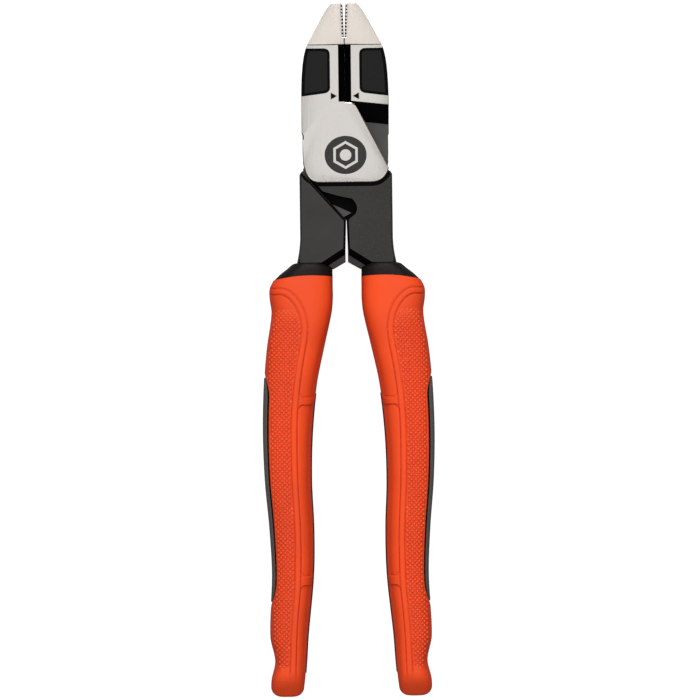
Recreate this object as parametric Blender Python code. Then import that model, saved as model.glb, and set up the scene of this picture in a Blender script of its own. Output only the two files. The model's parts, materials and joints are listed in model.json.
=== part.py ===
"""Lineman pliers, closed, lying flat: two forged halves on one rivet, each handle in a moulded grip.

X is the width, +Y points from the handles to the jaws and +Z is up, out of the front face. Both
halves are one forging: the second is the first turned half a turn about the long axis. Shapes are
drawn about the pivot, with z = 0 between the two laps, and an empty on the pivot axis places them.
"""
import math

import bmesh
import bpy
from mathutils import Vector

MM = 0.001
CLEARANCE = 0.3 * MM          # between neighbouring pieces
MARGIN = 3.0 * MM             # how far a cutter runs past what it cuts

# Overall sizes
JAW_REACH = 52.9 * MM         # pivot axis to jaw tip
HANDLE_REACH = 188.4 * MM     # pivot axis to grip end
HEAD_WIDTH = 30.4 * MM
HEAD_THICKNESS = 16.0 * MM    # over the nose, front to back
GRIP_THICKNESS = 20.0 * MM    # over the palm swell, front to back

# Jaws
TIP_FLAT = 3.6 * MM           # half width of the square tip
TIP_ROUND = 4.7 * MM          # length of the rounded corner beside it
NOSE_LENGTH = 14.5 * MM       # tip to the step across both jaws
NOSE_HALF_WIDTH = 12.9 * MM   # at that step
FACE_STEP = 0.4 * MM          # how far the jaws and the lap lie below the nose
TIP_GAP = 1.0 * MM            # between the gripping faces at the tip
GRIP_FACE_LENGTH = 11.9 * MM  # toothed length, tip to the flat at the knives
KNIFE_HALF_SLOT = 2.1 * MM
KNIFE_BEVEL = 4.2 * MM        # depth of each cutting bevel, edge to slot wall
PAD_DEPTH = 0.35 * MM
PAD_INSET = 5.5 * MM          # centreline to a pad's inner edge
PAD_TOP = 1.5 * MM            # below the nose step
PAD_BOTTOM = 2.7 * MM         # above the lap

# Laps
LAP_TOP = 18.25 * MM          # pivot to the upper edge of a lap
LAP_CORNER = 2.8 * MM         # half width of the lap's upper corner
DIAGONAL_DISTANCE = 11.2 * MM
DIAGONAL_TILT = math.radians(27.2)
SHOULDER_TILT = math.radians(6.4)
RAMP_RUN = 6.2 * MM           # how far below its shoulder a jaw's ramp meets the lap plane
SIDE_RELIEF = 0.25 * MM       # each lap's side lies inside the head's by this
NOTCH_TOP = 7.8 * MM
NOTCH_LENGTH = 2.8 * MM
NOTCH_DEPTH = 0.8 * MM
STOP_ANGLE = math.radians(42.3)   # opening at which the shoulder meets the lap's side
LAP_FLOOR = 9.4 * MM          # pivot to the lower edge of the polished face
LAP_FOOT_RISE = 0.55          # share of LAP_FLOOR by which the polished face's foot rises at its sides
POCKET_FLOOR = 1.5 * MM       # thickness left under the relief pocket beside the tang
# The pocket's border, from the point where the seam crosses the centreline
POCKET_TOP = ((-9.5 * MM, 11.2 * MM), (0.5 * MM, 9.8 * MM), (3.4 * MM, 5.6 * MM))
POCKET_SIDE = ((3.4 * MM, 4.6 * MM), (3.4 * MM, 1.6 * MM), (0.6 * MM, 0.7 * MM))
POCKET_MOUTH = ((-2.5 * MM, -1.5 * MM), (-14.0 * MM, 9.5 * MM))

# Rivet
RIVET_RADIUS = 4.0 * MM
RIVET_HEAD_RADIUS = 6.2 * MM
RIVET_HEAD_DEPTH = 2.2 * MM
RIVET_RIM = 0.5 * MM          # straight edge of the head before it tapers
RIVET_SIDES = 32

# Tangs
TANG_THICKNESS = 13.2 * MM
TANG_GAP = 2.2 * MM           # between the two tangs
TANG_OUTSET = 1.0 * MM        # how far the tang's shoulder stands past the head's side
TANG_FLARE = 2.9 * MM         # how far it widens again at the collar
TANG_FLARE_LENGTH = 9.3 * MM
TANG_CHAMFER = 3.7 * MM       # inner lower corner, cut off above the collar
TANG_COVER = 36.4 * MM        # buried end to the grip's end
TANG_NECK_WIDTH = 10.0 * MM   # where it enters the collar
TANG_END_WIDTH = 7.2 * MM
TANG_TAPER = 2.0 * MM         # how much thinner it is at its buried end
TANG_NECK_CENTRE = 13.1 * MM  # its middle at the collar, from the centreline

# Grips
COLLAR_TOP = 37.3 * MM        # pivot to the collar's upper edge
COLLAR_LENGTH = 5.0 * MM      # collar's upper edge to the sleeve's
# Share of the collar's length, of its outward flare and of the sleeve's thickness
COLLAR_STATIONS = (
    (0.00, 0.10, 0.80),
    (0.25, 0.26, 0.90),
    (0.50, 0.52, 0.96),
    (0.75, 0.80, 0.99),
    (1.00, 1.00, 1.00),
)
SKIN = 2.4 * MM               # sleeve wall, with the gap under it
CORE_WALL = 1.6 * MM          # over the flat of the tang, with the gap under it
END_ROUND = 3.2 * MM
SECTION_POWER = 2.5           # 2 is an ellipse, larger is squarer
SECTION_SIDES = 20
INSERT_LIP = 0.6 * MM         # the insert's edge lies below the core's front by this
STRIP_HALF_HEIGHT = 3.4 * MM
INSERT_START = 32.8 * MM      # below the sleeve's upper edge
INSERT_END = 31.1 * MM        # above the grip's end
STRIP_START = 39.6 * MM
STRIP_END = 7.4 * MM

# Share of the sleeve's length, inner and outer edge from the centreline, share of the full thickness
GRIP_STATIONS = (
    (0.00, 5.0 * MM, 25.1 * MM, 0.89),
    (0.025, 5.0 * MM, 27.0 * MM, 0.91),
    (0.05, 5.0 * MM, 27.1 * MM, 0.92),
    (0.085, 5.5 * MM, 26.5 * MM, 0.93),
    (0.17, 8.3 * MM, 28.3 * MM, 0.95),
    (0.255, 10.9 * MM, 29.4 * MM, 0.98),
    (0.37, 12.7 * MM, 29.9 * MM, 1.00),
    (0.485, 13.2 * MM, 29.4 * MM, 1.00),
    (0.60, 12.6 * MM, 28.0 * MM, 0.98),
    (0.71, 12.9 * MM, 27.3 * MM, 0.95),
    (0.855, 15.0 * MM, 28.2 * MM, 0.92),
    (0.915, 15.6 * MM, 27.0 * MM, 0.88),
    (1.00, 17.0 * MM, 28.4 * MM, 0.89),
)

HALF_HEAD = HEAD_THICKNESS / 2
HEAD_SIDE = HEAD_WIDTH / 2
LAP_SIDE = HEAD_SIDE - SIDE_RELIEF
FACE = HALF_HEAD - FACE_STEP                    # level of the polished lap
NOSE_STEP = JAW_REACH - NOSE_LENGTH
SEAM_DISTANCE = LAP_SIDE + CLEARANCE            # pivot to the seam between a lap and a tang
SHOULDER_TOP = LAP_TOP + 1.5 * CLEARANCE
SLEEVE_TOP = COLLAR_TOP + COLLAR_LENGTH
TANG_LENGTH = HANDLE_REACH - TANG_COVER
INSERT_SPAN = (SLEEVE_TOP + INSERT_START, HANDLE_REACH - INSERT_END)
STRIP_SPAN = (SLEEVE_TOP + STRIP_START, HANDLE_REACH - STRIP_END)


def clear_scene():
    for obj in list(bpy.data.objects):
        bpy.data.objects.remove(obj, do_unlink=True)


def add_object(name, mesh):
    obj = bpy.data.objects.new(name, mesh)
    bpy.context.scene.collection.objects.link(obj)
    return obj


def loft(name, rings):
    """Closed solid through rings of equal length, with a flat cap on the first and the last."""
    bm = bmesh.new()
    loops = [[bm.verts.new(point) for point in ring] for ring in rings]
    for lower, upper in zip(loops, loops[1:]):
        for i, vert in enumerate(lower):
            j = (i + 1) % len(lower)
            bm.faces.new((vert, lower[j], upper[j], upper[i]))
    bm.faces.new(loops[0])
    bm.faces.new(loops[-1])
    bmesh.ops.recalc_face_normals(bm, faces=bm.faces)
    mesh = bpy.data.meshes.new(name)
    bm.to_mesh(mesh)
    bm.free()
    return add_object(name, mesh)


def stack(name, levels):
    """Solid through outlines drawn in X and Y, each at its own height."""
    return loft(name, [[(x, y, z) for x, y in outline] for z, outline in levels])


def prism(name, outline, low, high):
    return stack(name, [(low, outline), (high, outline)])


def block(name, x_range, y_range, z_range):
    (x0, x1), (y0, y1) = x_range, y_range
    return prism(name, [(x0, y0), (x1, y0), (x1, y1), (x0, y1)], *z_range)


def combine(target, tool, operation="DIFFERENCE"):
    """Applies one exact Boolean to the target's mesh and removes the tool."""
    modifier = target.modifiers.new(tool.name, "BOOLEAN")
    modifier.operation = operation
    modifier.solver = "EXACT"
    modifier.object = tool
    bpy.context.view_layer.update()
    evaluated = target.evaluated_get(bpy.context.evaluated_depsgraph_get())
    result = bpy.data.meshes.new_from_object(evaluated)
    target.modifiers.clear()
    target.data = result
    bpy.data.objects.remove(tool, do_unlink=True)


def bend(start, corner, end, steps=5):
    """Points of a quadratic curve from start to end, both included."""
    points = []
    for i in range(steps + 1):
        t = i / steps
        weights = ((1 - t) ** 2, 2 * t * (1 - t), t * t)
        points.append(tuple(sum(w * p[k] for w, p in zip(weights, (start, corner, end)))
                            for k in (0, 1)))
    return points


def smooth_value(table, column, at):
    """Cubic through one column of a table whose first column rises."""
    i = max(k for k, row in enumerate(table[:-1]) if row[0] <= at or k == 0)
    here, after = table[i], table[i + 1]
    before, beyond = table[max(i - 1, 0)], table[min(i + 2, len(table) - 1)]
    span = after[0] - here[0]
    t = min(max((at - here[0]) / span, 0.0), 1.0)
    slope_here = (after[column] - before[column]) / (after[0] - before[0]) * span
    slope_after = (beyond[column] - here[column]) / (beyond[0] - here[0]) * span
    rise = after[column] - here[column]
    return (here[column] + slope_here * t + (3 * rise - 2 * slope_here - slope_after) * t ** 2
            + (slope_here + slope_after - 2 * rise) * t ** 3)


# The forged half: left jaw, front lap and right tang

def jaw_side():
    """Outer edge of the right jaw, from the tip down to the lap."""
    tip = (TIP_FLAT, JAW_REACH)
    nose = (NOSE_HALF_WIDTH, NOSE_STEP)
    slope = (NOSE_HALF_WIDTH - TIP_FLAT - 0.3 * TIP_ROUND) / NOSE_LENGTH
    past_tip = (nose[0] - slope * (NOSE_LENGTH - TIP_ROUND), JAW_REACH - TIP_ROUND)
    tip_corner = (TIP_FLAT + 0.35 * TIP_ROUND, JAW_REACH - 0.12 * TIP_ROUND)
    side_corner = (HEAD_SIDE, NOSE_STEP - (HEAD_SIDE - NOSE_HALF_WIDTH) / slope)
    side = (HEAD_SIDE, LAP_TOP)
    return bend(tip, tip_corner, past_tip, 3) + bend(nose, side_corner, side, 6)


def seam_y(x, distance):
    """Height of the seam between lap and left tang at x, for a seam so far from the pivot."""
    return -(distance + x * math.cos(STOP_ANGLE)) / math.sin(STOP_ANGLE)


def diagonal_y(x, distance):
    """Height of the lap's upper right edge at x."""
    return (distance - x * math.cos(DIAGONAL_TILT)) / math.sin(DIAGONAL_TILT)


def lap_arc(radius, steps=6):
    """Lower left corner of the lap, on the circle that the other half's shoulder sweeps."""
    first = math.acos(LAP_SIDE / radius)
    turns = [first + (STOP_ANGLE - first) * i / steps for i in range(steps + 1)]
    return [(-radius * math.cos(a), -radius * math.sin(a)) for a in turns]


def forging_outline():
    """Whole outline of the half, anticlockwise from its inner tip corner."""
    half_gap = CLEARANCE / 2
    left_jaw = [(-x, y) for x, y in jaw_side()]
    notch_x = -LAP_SIDE + NOTCH_DEPTH
    notch_end = NOTCH_TOP - NOTCH_LENGTH
    notch = [(-HEAD_SIDE, NOTCH_TOP), (notch_x, NOTCH_TOP - NOTCH_DEPTH),
             (notch_x, notch_end + NOTCH_DEPTH), (-LAP_SIDE, notch_end)]
    seam = SEAM_DISTANCE - half_gap
    inner = TANG_GAP / 2
    seam_end = (-half_gap, seam_y(-half_gap, seam))
    shoulder = HEAD_SIDE + TANG_OUTSET
    rest = COLLAR_TOP - CLEARANCE
    neck_inner = TANG_NECK_CENTRE - TANG_NECK_WIDTH / 2 - CLEARANCE
    flare = max(shoulder + TANG_FLARE, TANG_NECK_CENTRE + TANG_NECK_WIDTH / 2 + MM)
    chamfer_x = min(inner + TANG_CHAMFER, neck_inner - CLEARANCE)
    chamfer_y = -rest - (neck_inner - chamfer_x)
    tang = [(inner, seam_end[1] - inner), (inner, chamfer_y + 0.6 * (chamfer_x - inner)),
            (chamfer_x, chamfer_y), (neck_inner, -rest)]
    tang += bend((flare, -rest), (shoulder, -rest + 0.45 * TANG_FLARE_LENGTH),
                 (shoulder, -rest + TANG_FLARE_LENGTH), 4)
    lap_end = (LAP_SIDE, diagonal_y(LAP_SIDE, DIAGONAL_DISTANCE))
    tang += [(shoulder, lap_end[1] - TANG_OUTSET - half_gap)]
    corner_x = 1.5 * LAP_CORNER
    upper = [lap_end, (corner_x, diagonal_y(corner_x, DIAGONAL_DISTANCE)),
             (LAP_CORNER, LAP_TOP - half_gap), (-half_gap, LAP_TOP)]
    faces = [(-half_gap, JAW_REACH - GRIP_FACE_LENGTH)]
    return ([(-TIP_GAP / 2, JAW_REACH)] + left_jaw + notch + lap_arc(seam) + [seam_end] + tang
            + upper + faces)


def rear_recess():
    """Cutter for the space of the other half's lap, with the ramp under the left jaw."""
    far = HEAD_WIDTH
    seam = SEAM_DISTANCE + CLEARANCE / 2
    tang_foot = (CLEARANCE / 2, seam_y(-CLEARANCE / 2, seam))
    below = [(-far, tang_foot[1] - MARGIN), (tang_foot[0], tang_foot[1] - MARGIN), tang_foot,
             (far, seam_y(-far, seam)), (far, LAP_TOP + MARGIN), (0.0, LAP_TOP + MARGIN),
             (0.0, SHOULDER_TOP)]
    drop = math.tan(SHOULDER_TILT)

    def shoulder(x, lower):
        return (x, SHOULDER_TOP + drop * x - lower)

    top_x = -(LAP_CORNER + 2 * CLEARANCE)
    slope = math.tan(DIAGONAL_TILT)
    foot_x = -(DIAGONAL_DISTANCE / math.cos(DIAGONAL_TILT) + 1.5 * CLEARANCE
               - (SHOULDER_TOP - RAMP_RUN) * slope) / (1 - drop * slope)
    face = below + [shoulder(top_x, 0.0), shoulder(top_x - CLEARANCE, 0.0), shoulder(-far, 0.0)]
    middle = below + [shoulder(top_x, CLEARANCE), shoulder(foot_x, RAMP_RUN),
                      shoulder(-far, RAMP_RUN)]
    return stack("rear_recess", [(-HALF_HEAD - MARGIN, face), (-HALF_HEAD, face),
                                 (CLEARANCE / 2, middle)])


def knife_cutter(side):
    """One side of the slot between the knives, from the cutting edge at z = 0 outwards."""
    edge, wall = -CLEARANCE / 2, -KNIFE_HALF_SLOT
    profile = [(edge, 0.0), (wall, side * KNIFE_BEVEL), (wall, side * (HALF_HEAD + MARGIN)),
               (MARGIN, side * (HALF_HEAD + MARGIN)), (MARGIN, 0.0)]
    ends = (LAP_TOP + CLEARANCE, NOSE_STEP)
    return loft("knife_cutter", [[(x, y, z) for x, z in profile] for y in ends])


def pocket_cutter():
    """Relief beside the tang: open towards the other half's shoulder."""
    crossing = seam_y(0.0, SEAM_DISTANCE)
    border = bend(*POCKET_TOP, 4) + bend(*POCKET_SIDE, 3) + list(POCKET_MOUTH)
    outline = [(x, crossing + y) for x, y in border]
    return prism("pocket_cutter", outline, POCKET_FLOOR, HALF_HEAD + MARGIN)


def tang_cutter(side):
    """Brings the tang down to its own level, below the polished lap's lower edge."""
    far = 2 * HEAD_WIDTH
    side_y = -(1 - LAP_FOOT_RISE) * LAP_FLOOR
    right = bend((LAP_SIDE / 2, -LAP_FLOOR), (0.8 * LAP_SIDE, -LAP_FLOOR),
                 (LAP_SIDE + 2 * TANG_OUTSET, side_y), 4)
    left = [(-x, y) for x, y in right]
    outline = [(far, -far), (far, side_y)] + right[::-1] + left + [(-far, side_y), (-far, -far)]
    levels = sorted((side * TANG_THICKNESS / 2, side * (HALF_HEAD + MARGIN)))
    return prism("tang_cutter", outline, *levels)


def grip_edges(distance):
    """Inner edge, outer edge and half thickness of the sleeve, so far from the pivot."""
    share = (distance - SLEEVE_TOP) / (HANDLE_REACH - SLEEVE_TOP)
    inner, outer, depth = (smooth_value(GRIP_STATIONS, column, share) for column in (1, 2, 3))
    return inner, outer, min(depth, 1.0) * GRIP_THICKNESS / 2


def tang_rings(clearance, start, end):
    """Rings of the buried tang with a clearance round it."""
    distances = [start, COLLAR_TOP]
    distances += [SLEEVE_TOP + (end - SLEEVE_TOP) * i / 5 for i in range(6)]
    neck_thick = grip_edges(SLEEVE_TOP)[2] - SKIN - CORE_WALL
    rings = []
    for distance in distances:
        share = min(max((distance - COLLAR_TOP) / (TANG_LENGTH - COLLAR_TOP), 0.0), 1.0)
        centre = TANG_NECK_CENTRE
        if distance >= SLEEVE_TOP:
            inner, outer, _ = grip_edges(distance)
            centre = (inner + outer) / 2
        wide = (TANG_NECK_WIDTH + (TANG_END_WIDTH - TANG_NECK_WIDTH) * share) / 2 + clearance
        thick = neck_thick - TANG_TAPER / 2 * share + clearance
        rings.append([(centre + sx * wide, -distance, sz * thick)
                      for sx, sz in ((-1, -1), (1, -1), (1, 1), (-1, 1))])
    return rings


def rivet_solid(name, clearance):
    """Turned rivet about Z with a countersunk head flush with each polished face."""
    top = FACE + (MARGIN if clearance else 0.0)
    head = RIVET_HEAD_RADIUS + clearance
    shank = RIVET_RADIUS + clearance
    under = FACE - RIVET_HEAD_DEPTH
    rim = FACE - RIVET_RIM
    profile = [(-top, head), (-rim, head), (-under, shank), (under, shank), (rim, head), (top, head)]
    turns = [2 * math.pi * i / RIVET_SIDES for i in range(RIVET_SIDES)]
    return loft(name, [[(r * math.cos(a), r * math.sin(a), z) for a in turns] for z, r in profile])


def pad_cutter(side):
    """Shallow pad on the left jaw, open to its outer edge."""
    low, high = LAP_TOP + PAD_BOTTOM, NOSE_STEP - PAD_TOP
    floor = side * (FACE - PAD_DEPTH)
    levels = sorted((floor, side * (HALF_HEAD + MARGIN)))
    return block("pad_cutter", (-HEAD_WIDTH, -PAD_INSET), (low, high), levels)


def make_forging(name):
    half = prism(name, forging_outline(), -HALF_HEAD, HALF_HEAD)
    combine(half, rear_recess())
    for side in (-1, 1):
        levels = sorted((side * FACE, side * (HALF_HEAD + MARGIN)))
        across = (-2 * HEAD_WIDTH, 2 * HEAD_WIDTH)
        combine(half, block("face_cutter", across, (-HANDLE_REACH, NOSE_STEP), levels))
        combine(half, tang_cutter(side))
        combine(half, pad_cutter(side))
        combine(half, knife_cutter(side))
    combine(half, pocket_cutter())
    combine(half, rivet_solid("rivet_bore", CLEARANCE))
    neck = tang_rings(0.0, COLLAR_TOP - 2 * MM, TANG_LENGTH)
    combine(half, loft("buried_tang", neck), "UNION")
    return half


# The grip on the right handle

def oval(distance, inner, outer, depth):
    """Rounded section between two edges, so far from the pivot."""
    centre, wide = (inner + outer) / 2, (outer - inner) / 2
    ring = []
    for i in range(SECTION_SIDES):
        turn = 2 * math.pi * i / SECTION_SIDES
        c, s = math.cos(turn), math.sin(turn)
        x = math.copysign(abs(c) ** (2 / SECTION_POWER), c)
        z = math.copysign(abs(s) ** (2 / SECTION_POWER), s)
        ring.append((centre + wide * x, -distance, depth * z))
    return ring


def grip_ring(distance, inset):
    """Section of the grip, inset from the sleeve's surface."""
    inner, outer, depth = grip_edges(distance)
    return oval(distance, inner + inset, outer - inset, depth - inset)


def grip_rings(start, end, inset, steps=14):
    """Rings from start to a rounded end, at the same stations for every inset."""
    last = HANDLE_REACH - SKIN - END_ROUND
    distances = [start]
    distances += [SLEEVE_TOP + (last - SLEEVE_TOP) * i / steps for i in range(1, steps)]
    rings = [grip_ring(distance, inset) for distance in distances]
    radius = max(END_ROUND - inset, CLEARANCE)
    for turn in (0, 30, 60, 90):
        angle = math.radians(turn)
        shrink = radius * (1 - math.cos(angle))
        rings.append(grip_ring(end - radius + radius * math.sin(angle), inset + shrink))
    return rings


def collar_rings():
    """The guard: its top corner clears the tang's, and it flares to the sleeve's full width."""
    inner, outer, depth = grip_edges(SLEEVE_TOP)
    neck_inner = TANG_NECK_CENTRE - TANG_NECK_WIDTH / 2
    neck_outer = TANG_NECK_CENTRE + TANG_NECK_WIDTH / 2
    bottom = SLEEVE_TOP - CLEARANCE
    rings = []
    for share, flare, thick in COLLAR_STATIONS:
        distance = COLLAR_TOP + (bottom - COLLAR_TOP) * share
        left = max(inner, neck_inner - (distance - COLLAR_TOP))
        right = neck_outer + (outer - neck_outer) * flare
        rings.append(oval(distance, left, right, depth * thick))
    return rings


def make_core(name):
    """Hard core with its guard collar, hollow for the tang."""
    rings = collar_rings()
    rings += grip_rings(SLEEVE_TOP - CLEARANCE, HANDLE_REACH - SKIN, SKIN)
    core = loft(name, rings)
    combine(core, loft("tang_cavity", tang_rings(CLEARANCE, COLLAR_TOP - MARGIN,
                                                 TANG_LENGTH + CLEARANCE)))
    return core


def insert_half_height(depth):
    return depth - SKIN + CLEARANCE - INSERT_LIP


def strip_half_height(depth):
    return STRIP_HALF_HEIGHT


def window(name, span, outer_side, half_height, clearance, steps=8):
    """Solid over one edge of the grip, from its middle outwards, which an inlay fills."""
    rings = []
    for i in range(steps + 1):
        distance = span[0] + (span[1] - span[0]) * i / steps
        inner, outer, depth = grip_edges(distance)
        far = outer + MARGIN if outer_side else inner - MARGIN
        distance += clearance * (2 * i / steps - 1)
        high = half_height(depth) + clearance
        corners = (((inner + outer) / 2, -high), (far, -high), (far, high),
                   ((inner + outer) / 2, high))
        rings.append([(x, -distance, z) for x, z in corners])
    return loft(name, rings)


def core_space(name):
    """Room for the core inside the sleeve."""
    rings = grip_rings(SLEEVE_TOP - MARGIN, HANDLE_REACH - SKIN + CLEARANCE, SKIN - CLEARANCE)
    return loft(name, rings)


def make_sleeve(name):
    """Moulded outer sleeve with a window on each edge."""
    sleeve = loft(name, grip_rings(SLEEVE_TOP, HANDLE_REACH, 0.0))
    combine(sleeve, core_space("core_space"))
    combine(sleeve, window("outer_window", INSERT_SPAN, True, insert_half_height, CLEARANCE))
    combine(sleeve, window("inner_window", STRIP_SPAN, False, strip_half_height, CLEARANCE))
    return sleeve


def make_inlay(name, span, outer_side, half_height):
    """Soft piece that fills one window of the sleeve."""
    inlay = loft(name, grip_rings(SLEEVE_TOP, HANDLE_REACH, 0.0))
    combine(inlay, window("inlay_space", span, outer_side, half_height, 0.0), "INTERSECT")
    combine(inlay, core_space("core_space"))
    return inlay


# Materials and assembly

def make_material(name, color, roughness, metallic):
    material = bpy.data.materials.new(name)
    material.use_nodes = True
    shader = material.node_tree.nodes["Principled BSDF"]
    shader.inputs["Base Color"].default_value = (*color, 1.0)
    shader.inputs["Roughness"].default_value = roughness
    shader.inputs["Metallic"].default_value = metallic
    material.diffuse_color = (*color, 1.0)
    return material


def place_pair(first, second_name, material, pivot):
    """Puts a piece on the pivot, and its copy turned half a turn about the long axis."""
    second = add_object(second_name, first.data.copy())
    second.rotation_euler = (0.0, math.pi, 0.0)
    for obj in (first, second):
        obj.data.materials.clear()
        obj.data.materials.append(material)
        obj.data.shade_smooth()
        obj.data.set_sharp_from_angle(angle=math.radians(30))
        obj.parent = pivot


def main():
    clear_scene()
    pivot = add_object("pivot_axis", None)
    pivot.location = Vector((0.0, (HANDLE_REACH - JAW_REACH) / 2, GRIP_THICKNESS / 2))

    steel = make_material("forged_steel", (0.35, 0.33, 0.31), 0.35, 1.0)
    hard = make_material("hard_black", (0.012, 0.011, 0.010), 0.45, 0.0)
    orange = make_material("orange_skin", (0.80, 0.08, 0.02), 0.5, 0.0)
    soft = make_material("soft_grey", (0.05, 0.05, 0.05), 0.6, 0.0)
    dark_steel = make_material("dark_steel", (0.04, 0.04, 0.04), 0.4, 1.0)

    place_pair(make_forging("left_jaw_half"), "right_jaw_half", steel, pivot)
    place_pair(make_core("right_grip_core"), "left_grip_core", hard, pivot)
    place_pair(make_sleeve("right_grip_sleeve"), "left_grip_sleeve", orange, pivot)
    outer = make_inlay("right_outer_insert", INSERT_SPAN, True, insert_half_height)
    place_pair(outer, "left_outer_insert", soft, pivot)
    inner = make_inlay("right_inner_strip", STRIP_SPAN, False, strip_half_height)
    place_pair(inner, "left_inner_strip", hard, pivot)

    rivet = rivet_solid("pivot_rivet", 0.0)
    rivet.data.materials.append(dark_steel)
    rivet.data.shade_smooth()
    rivet.data.set_sharp_from_angle(angle=math.radians(30))
    rivet.parent = pivot


main()
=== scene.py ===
"""Lineman pliers, finished: forged jaws, rivet, moulded grips and a plain studio.

The two halves are one forging, so each piece is drawn once about the pivot, for the left jaw and
the right handle, and its twin is turned half a turn about the long axis. Lengths are in metres.
Distances along a handle are counted from the pivot, downwards.
"""
import json
import math

import bmesh
import bpy
import numpy as np
from bpy.props import FloatProperty, FloatVectorProperty, IntProperty, PointerProperty
from mathutils import Matrix, Vector

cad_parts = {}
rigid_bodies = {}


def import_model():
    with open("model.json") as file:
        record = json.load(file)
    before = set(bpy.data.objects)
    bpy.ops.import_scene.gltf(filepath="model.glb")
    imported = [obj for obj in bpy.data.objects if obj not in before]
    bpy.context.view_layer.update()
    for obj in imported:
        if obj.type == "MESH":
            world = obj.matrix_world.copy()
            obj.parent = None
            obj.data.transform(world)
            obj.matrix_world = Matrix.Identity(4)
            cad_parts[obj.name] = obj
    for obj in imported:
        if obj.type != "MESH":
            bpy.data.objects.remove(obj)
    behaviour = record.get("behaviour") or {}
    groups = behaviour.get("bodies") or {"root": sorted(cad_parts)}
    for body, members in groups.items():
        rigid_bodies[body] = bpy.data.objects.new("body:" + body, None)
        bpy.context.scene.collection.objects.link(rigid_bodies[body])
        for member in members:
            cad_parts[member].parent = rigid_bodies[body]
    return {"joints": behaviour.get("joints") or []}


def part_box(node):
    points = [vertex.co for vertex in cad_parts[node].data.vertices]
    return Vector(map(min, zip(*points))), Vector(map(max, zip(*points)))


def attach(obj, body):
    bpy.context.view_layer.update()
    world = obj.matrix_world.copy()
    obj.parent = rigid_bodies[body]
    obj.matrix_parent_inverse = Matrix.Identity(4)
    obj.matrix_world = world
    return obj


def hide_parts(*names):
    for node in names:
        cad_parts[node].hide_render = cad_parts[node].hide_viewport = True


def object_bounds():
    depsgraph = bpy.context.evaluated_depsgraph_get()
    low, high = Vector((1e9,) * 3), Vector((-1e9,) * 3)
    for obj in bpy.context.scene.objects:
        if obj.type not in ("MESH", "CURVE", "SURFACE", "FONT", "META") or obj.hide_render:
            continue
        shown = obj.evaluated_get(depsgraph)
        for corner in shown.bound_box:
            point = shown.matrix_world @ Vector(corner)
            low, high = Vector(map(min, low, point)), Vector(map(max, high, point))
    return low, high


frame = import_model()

bl_info = {
    "name": "Lineman Pliers",
    "version": (1, 0, 0),
    "blender": (4, 5, 0),
    "location": "3D View > Sidebar > Pliers",
    "description": "Builds the finished pieces of a pair of lineman pliers",
    "category": "Object",
}

MM = 0.001
CAD_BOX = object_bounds()
JOINT = frame["joints"][0]
PIVOT = Vector(JOINT["pos_m"])
FRONT_BODY, REAR_BODY = JOINT["parent"], JOINT["child"]

JAW_LOW, JAW_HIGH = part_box("left_jaw_half")
SLEEVE_LOW, SLEEVE_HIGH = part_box("right_grip_sleeve")
CORE_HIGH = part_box("right_grip_core")[1]
INSERT_LOW, INSERT_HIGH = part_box("right_outer_insert")
STRIP_LOW, STRIP_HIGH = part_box("right_inner_strip")
RIVET_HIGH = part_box("pivot_rivet")[1]
JAW_REACH = JAW_HIGH.y - PIVOT.y           # pivot to jaw tip
HALF_HEAD = JAW_HIGH.z - PIVOT.z           # over the nose
HEAD_SIDE = -JAW_LOW.x
FACE = RIVET_HIGH.z - PIVOT.z              # level of the polished lap
HANDLE_REACH = PIVOT.y - SLEEVE_LOW.y      # pivot to grip end
SLEEVE_TOP = PIVOT.y - SLEEVE_HIGH.y
COLLAR_TOP = PIVOT.y - CORE_HIGH.y
GRIP_HALF = SLEEVE_HIGH.z - PIVOT.z
INSERT_SPAN = (PIVOT.y - INSERT_HIGH.y, PIVOT.y - INSERT_LOW.y)
STRIP_SPAN = (PIVOT.y - STRIP_HIGH.y, PIVOT.y - STRIP_LOW.y)
STRIP_HALF_HEIGHT = STRIP_HIGH.z - PIVOT.z
RIVET_RADIUS = RIVET_HIGH.x - PIVOT.x

CLEARANCE = 0.3 * MM
BEYOND = 3 * MM                            # how far a cutter reaches past what it cuts
ROUND_SIDES = 96

# The forging
STOP_ANGLE = math.radians(42.3)            # opening at which the shoulder meets the lap's side
LAP_SIDE = HEAD_SIDE - 0.25 * MM
SEAM_DISTANCE = LAP_SIDE + CLEARANCE
JAW_GAP = 0.001 * MM                       # between each finished jaw and the centreline
TIP_ROUND = 4.7 * MM                       # length of the rounding beside the square tip
GRIPPING_LENGTH = 11.9 * MM                # toothed part of the nose
DIAGONAL_DISTANCE = 11.2 * MM              # pivot to the lap's slanted edge
DIAGONAL_TILT = math.radians(27.2)
SHOULDER_DROP = math.tan(math.radians(6.4))
RAMP_RUN = 6.2 * MM                        # fall of the ramp below the shoulder
KNIFE_BEVEL = 4.2 * MM                     # height over which a knife thins to its edge
KNIFE_MOUTH = 0.12 * MM                    # bevel at the slot's mouth
NOSE_EDGE = 0.25 * MM                      # bevel round the nose
PAD_DEPTH = 0.35 * MM                      # floor of the pad's recess below the face
# The groove round the pad is coloured near-black: a painted shadow.
PAD_BORDER = 0.65 * MM                     # groove round the pad
# The line at the nose step is a painted shadow, etched in dark.
ETCH_DEPTH = 0.15 * MM                     # arrows and the line at the nose step
TANG_MOUTH = 0.45 * MM                     # bevel along the tang's side of the recess
TANG_NECK_CENTRE = 13.1 * MM
TANG_SHORT = 36.4 * MM                     # end of the buried tang to the grip's end
CORNERS = ((-1, -1), (1, -1), (1, 1), (-1, 1))       # of its square section

# The rivet and its mark
MARK_DEPTH = 0.12 * MM
MARK_RADIUS = 7.3 * MM
MARK_SQUASH = 0.91
BORE_RADIUS = RIVET_RADIUS - 0.04 * MM
NUT_RADIUS, NUT_HOLE, DOT_RADIUS = 4.9 * MM, 3.9 * MM, 2.0 * MM

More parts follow.
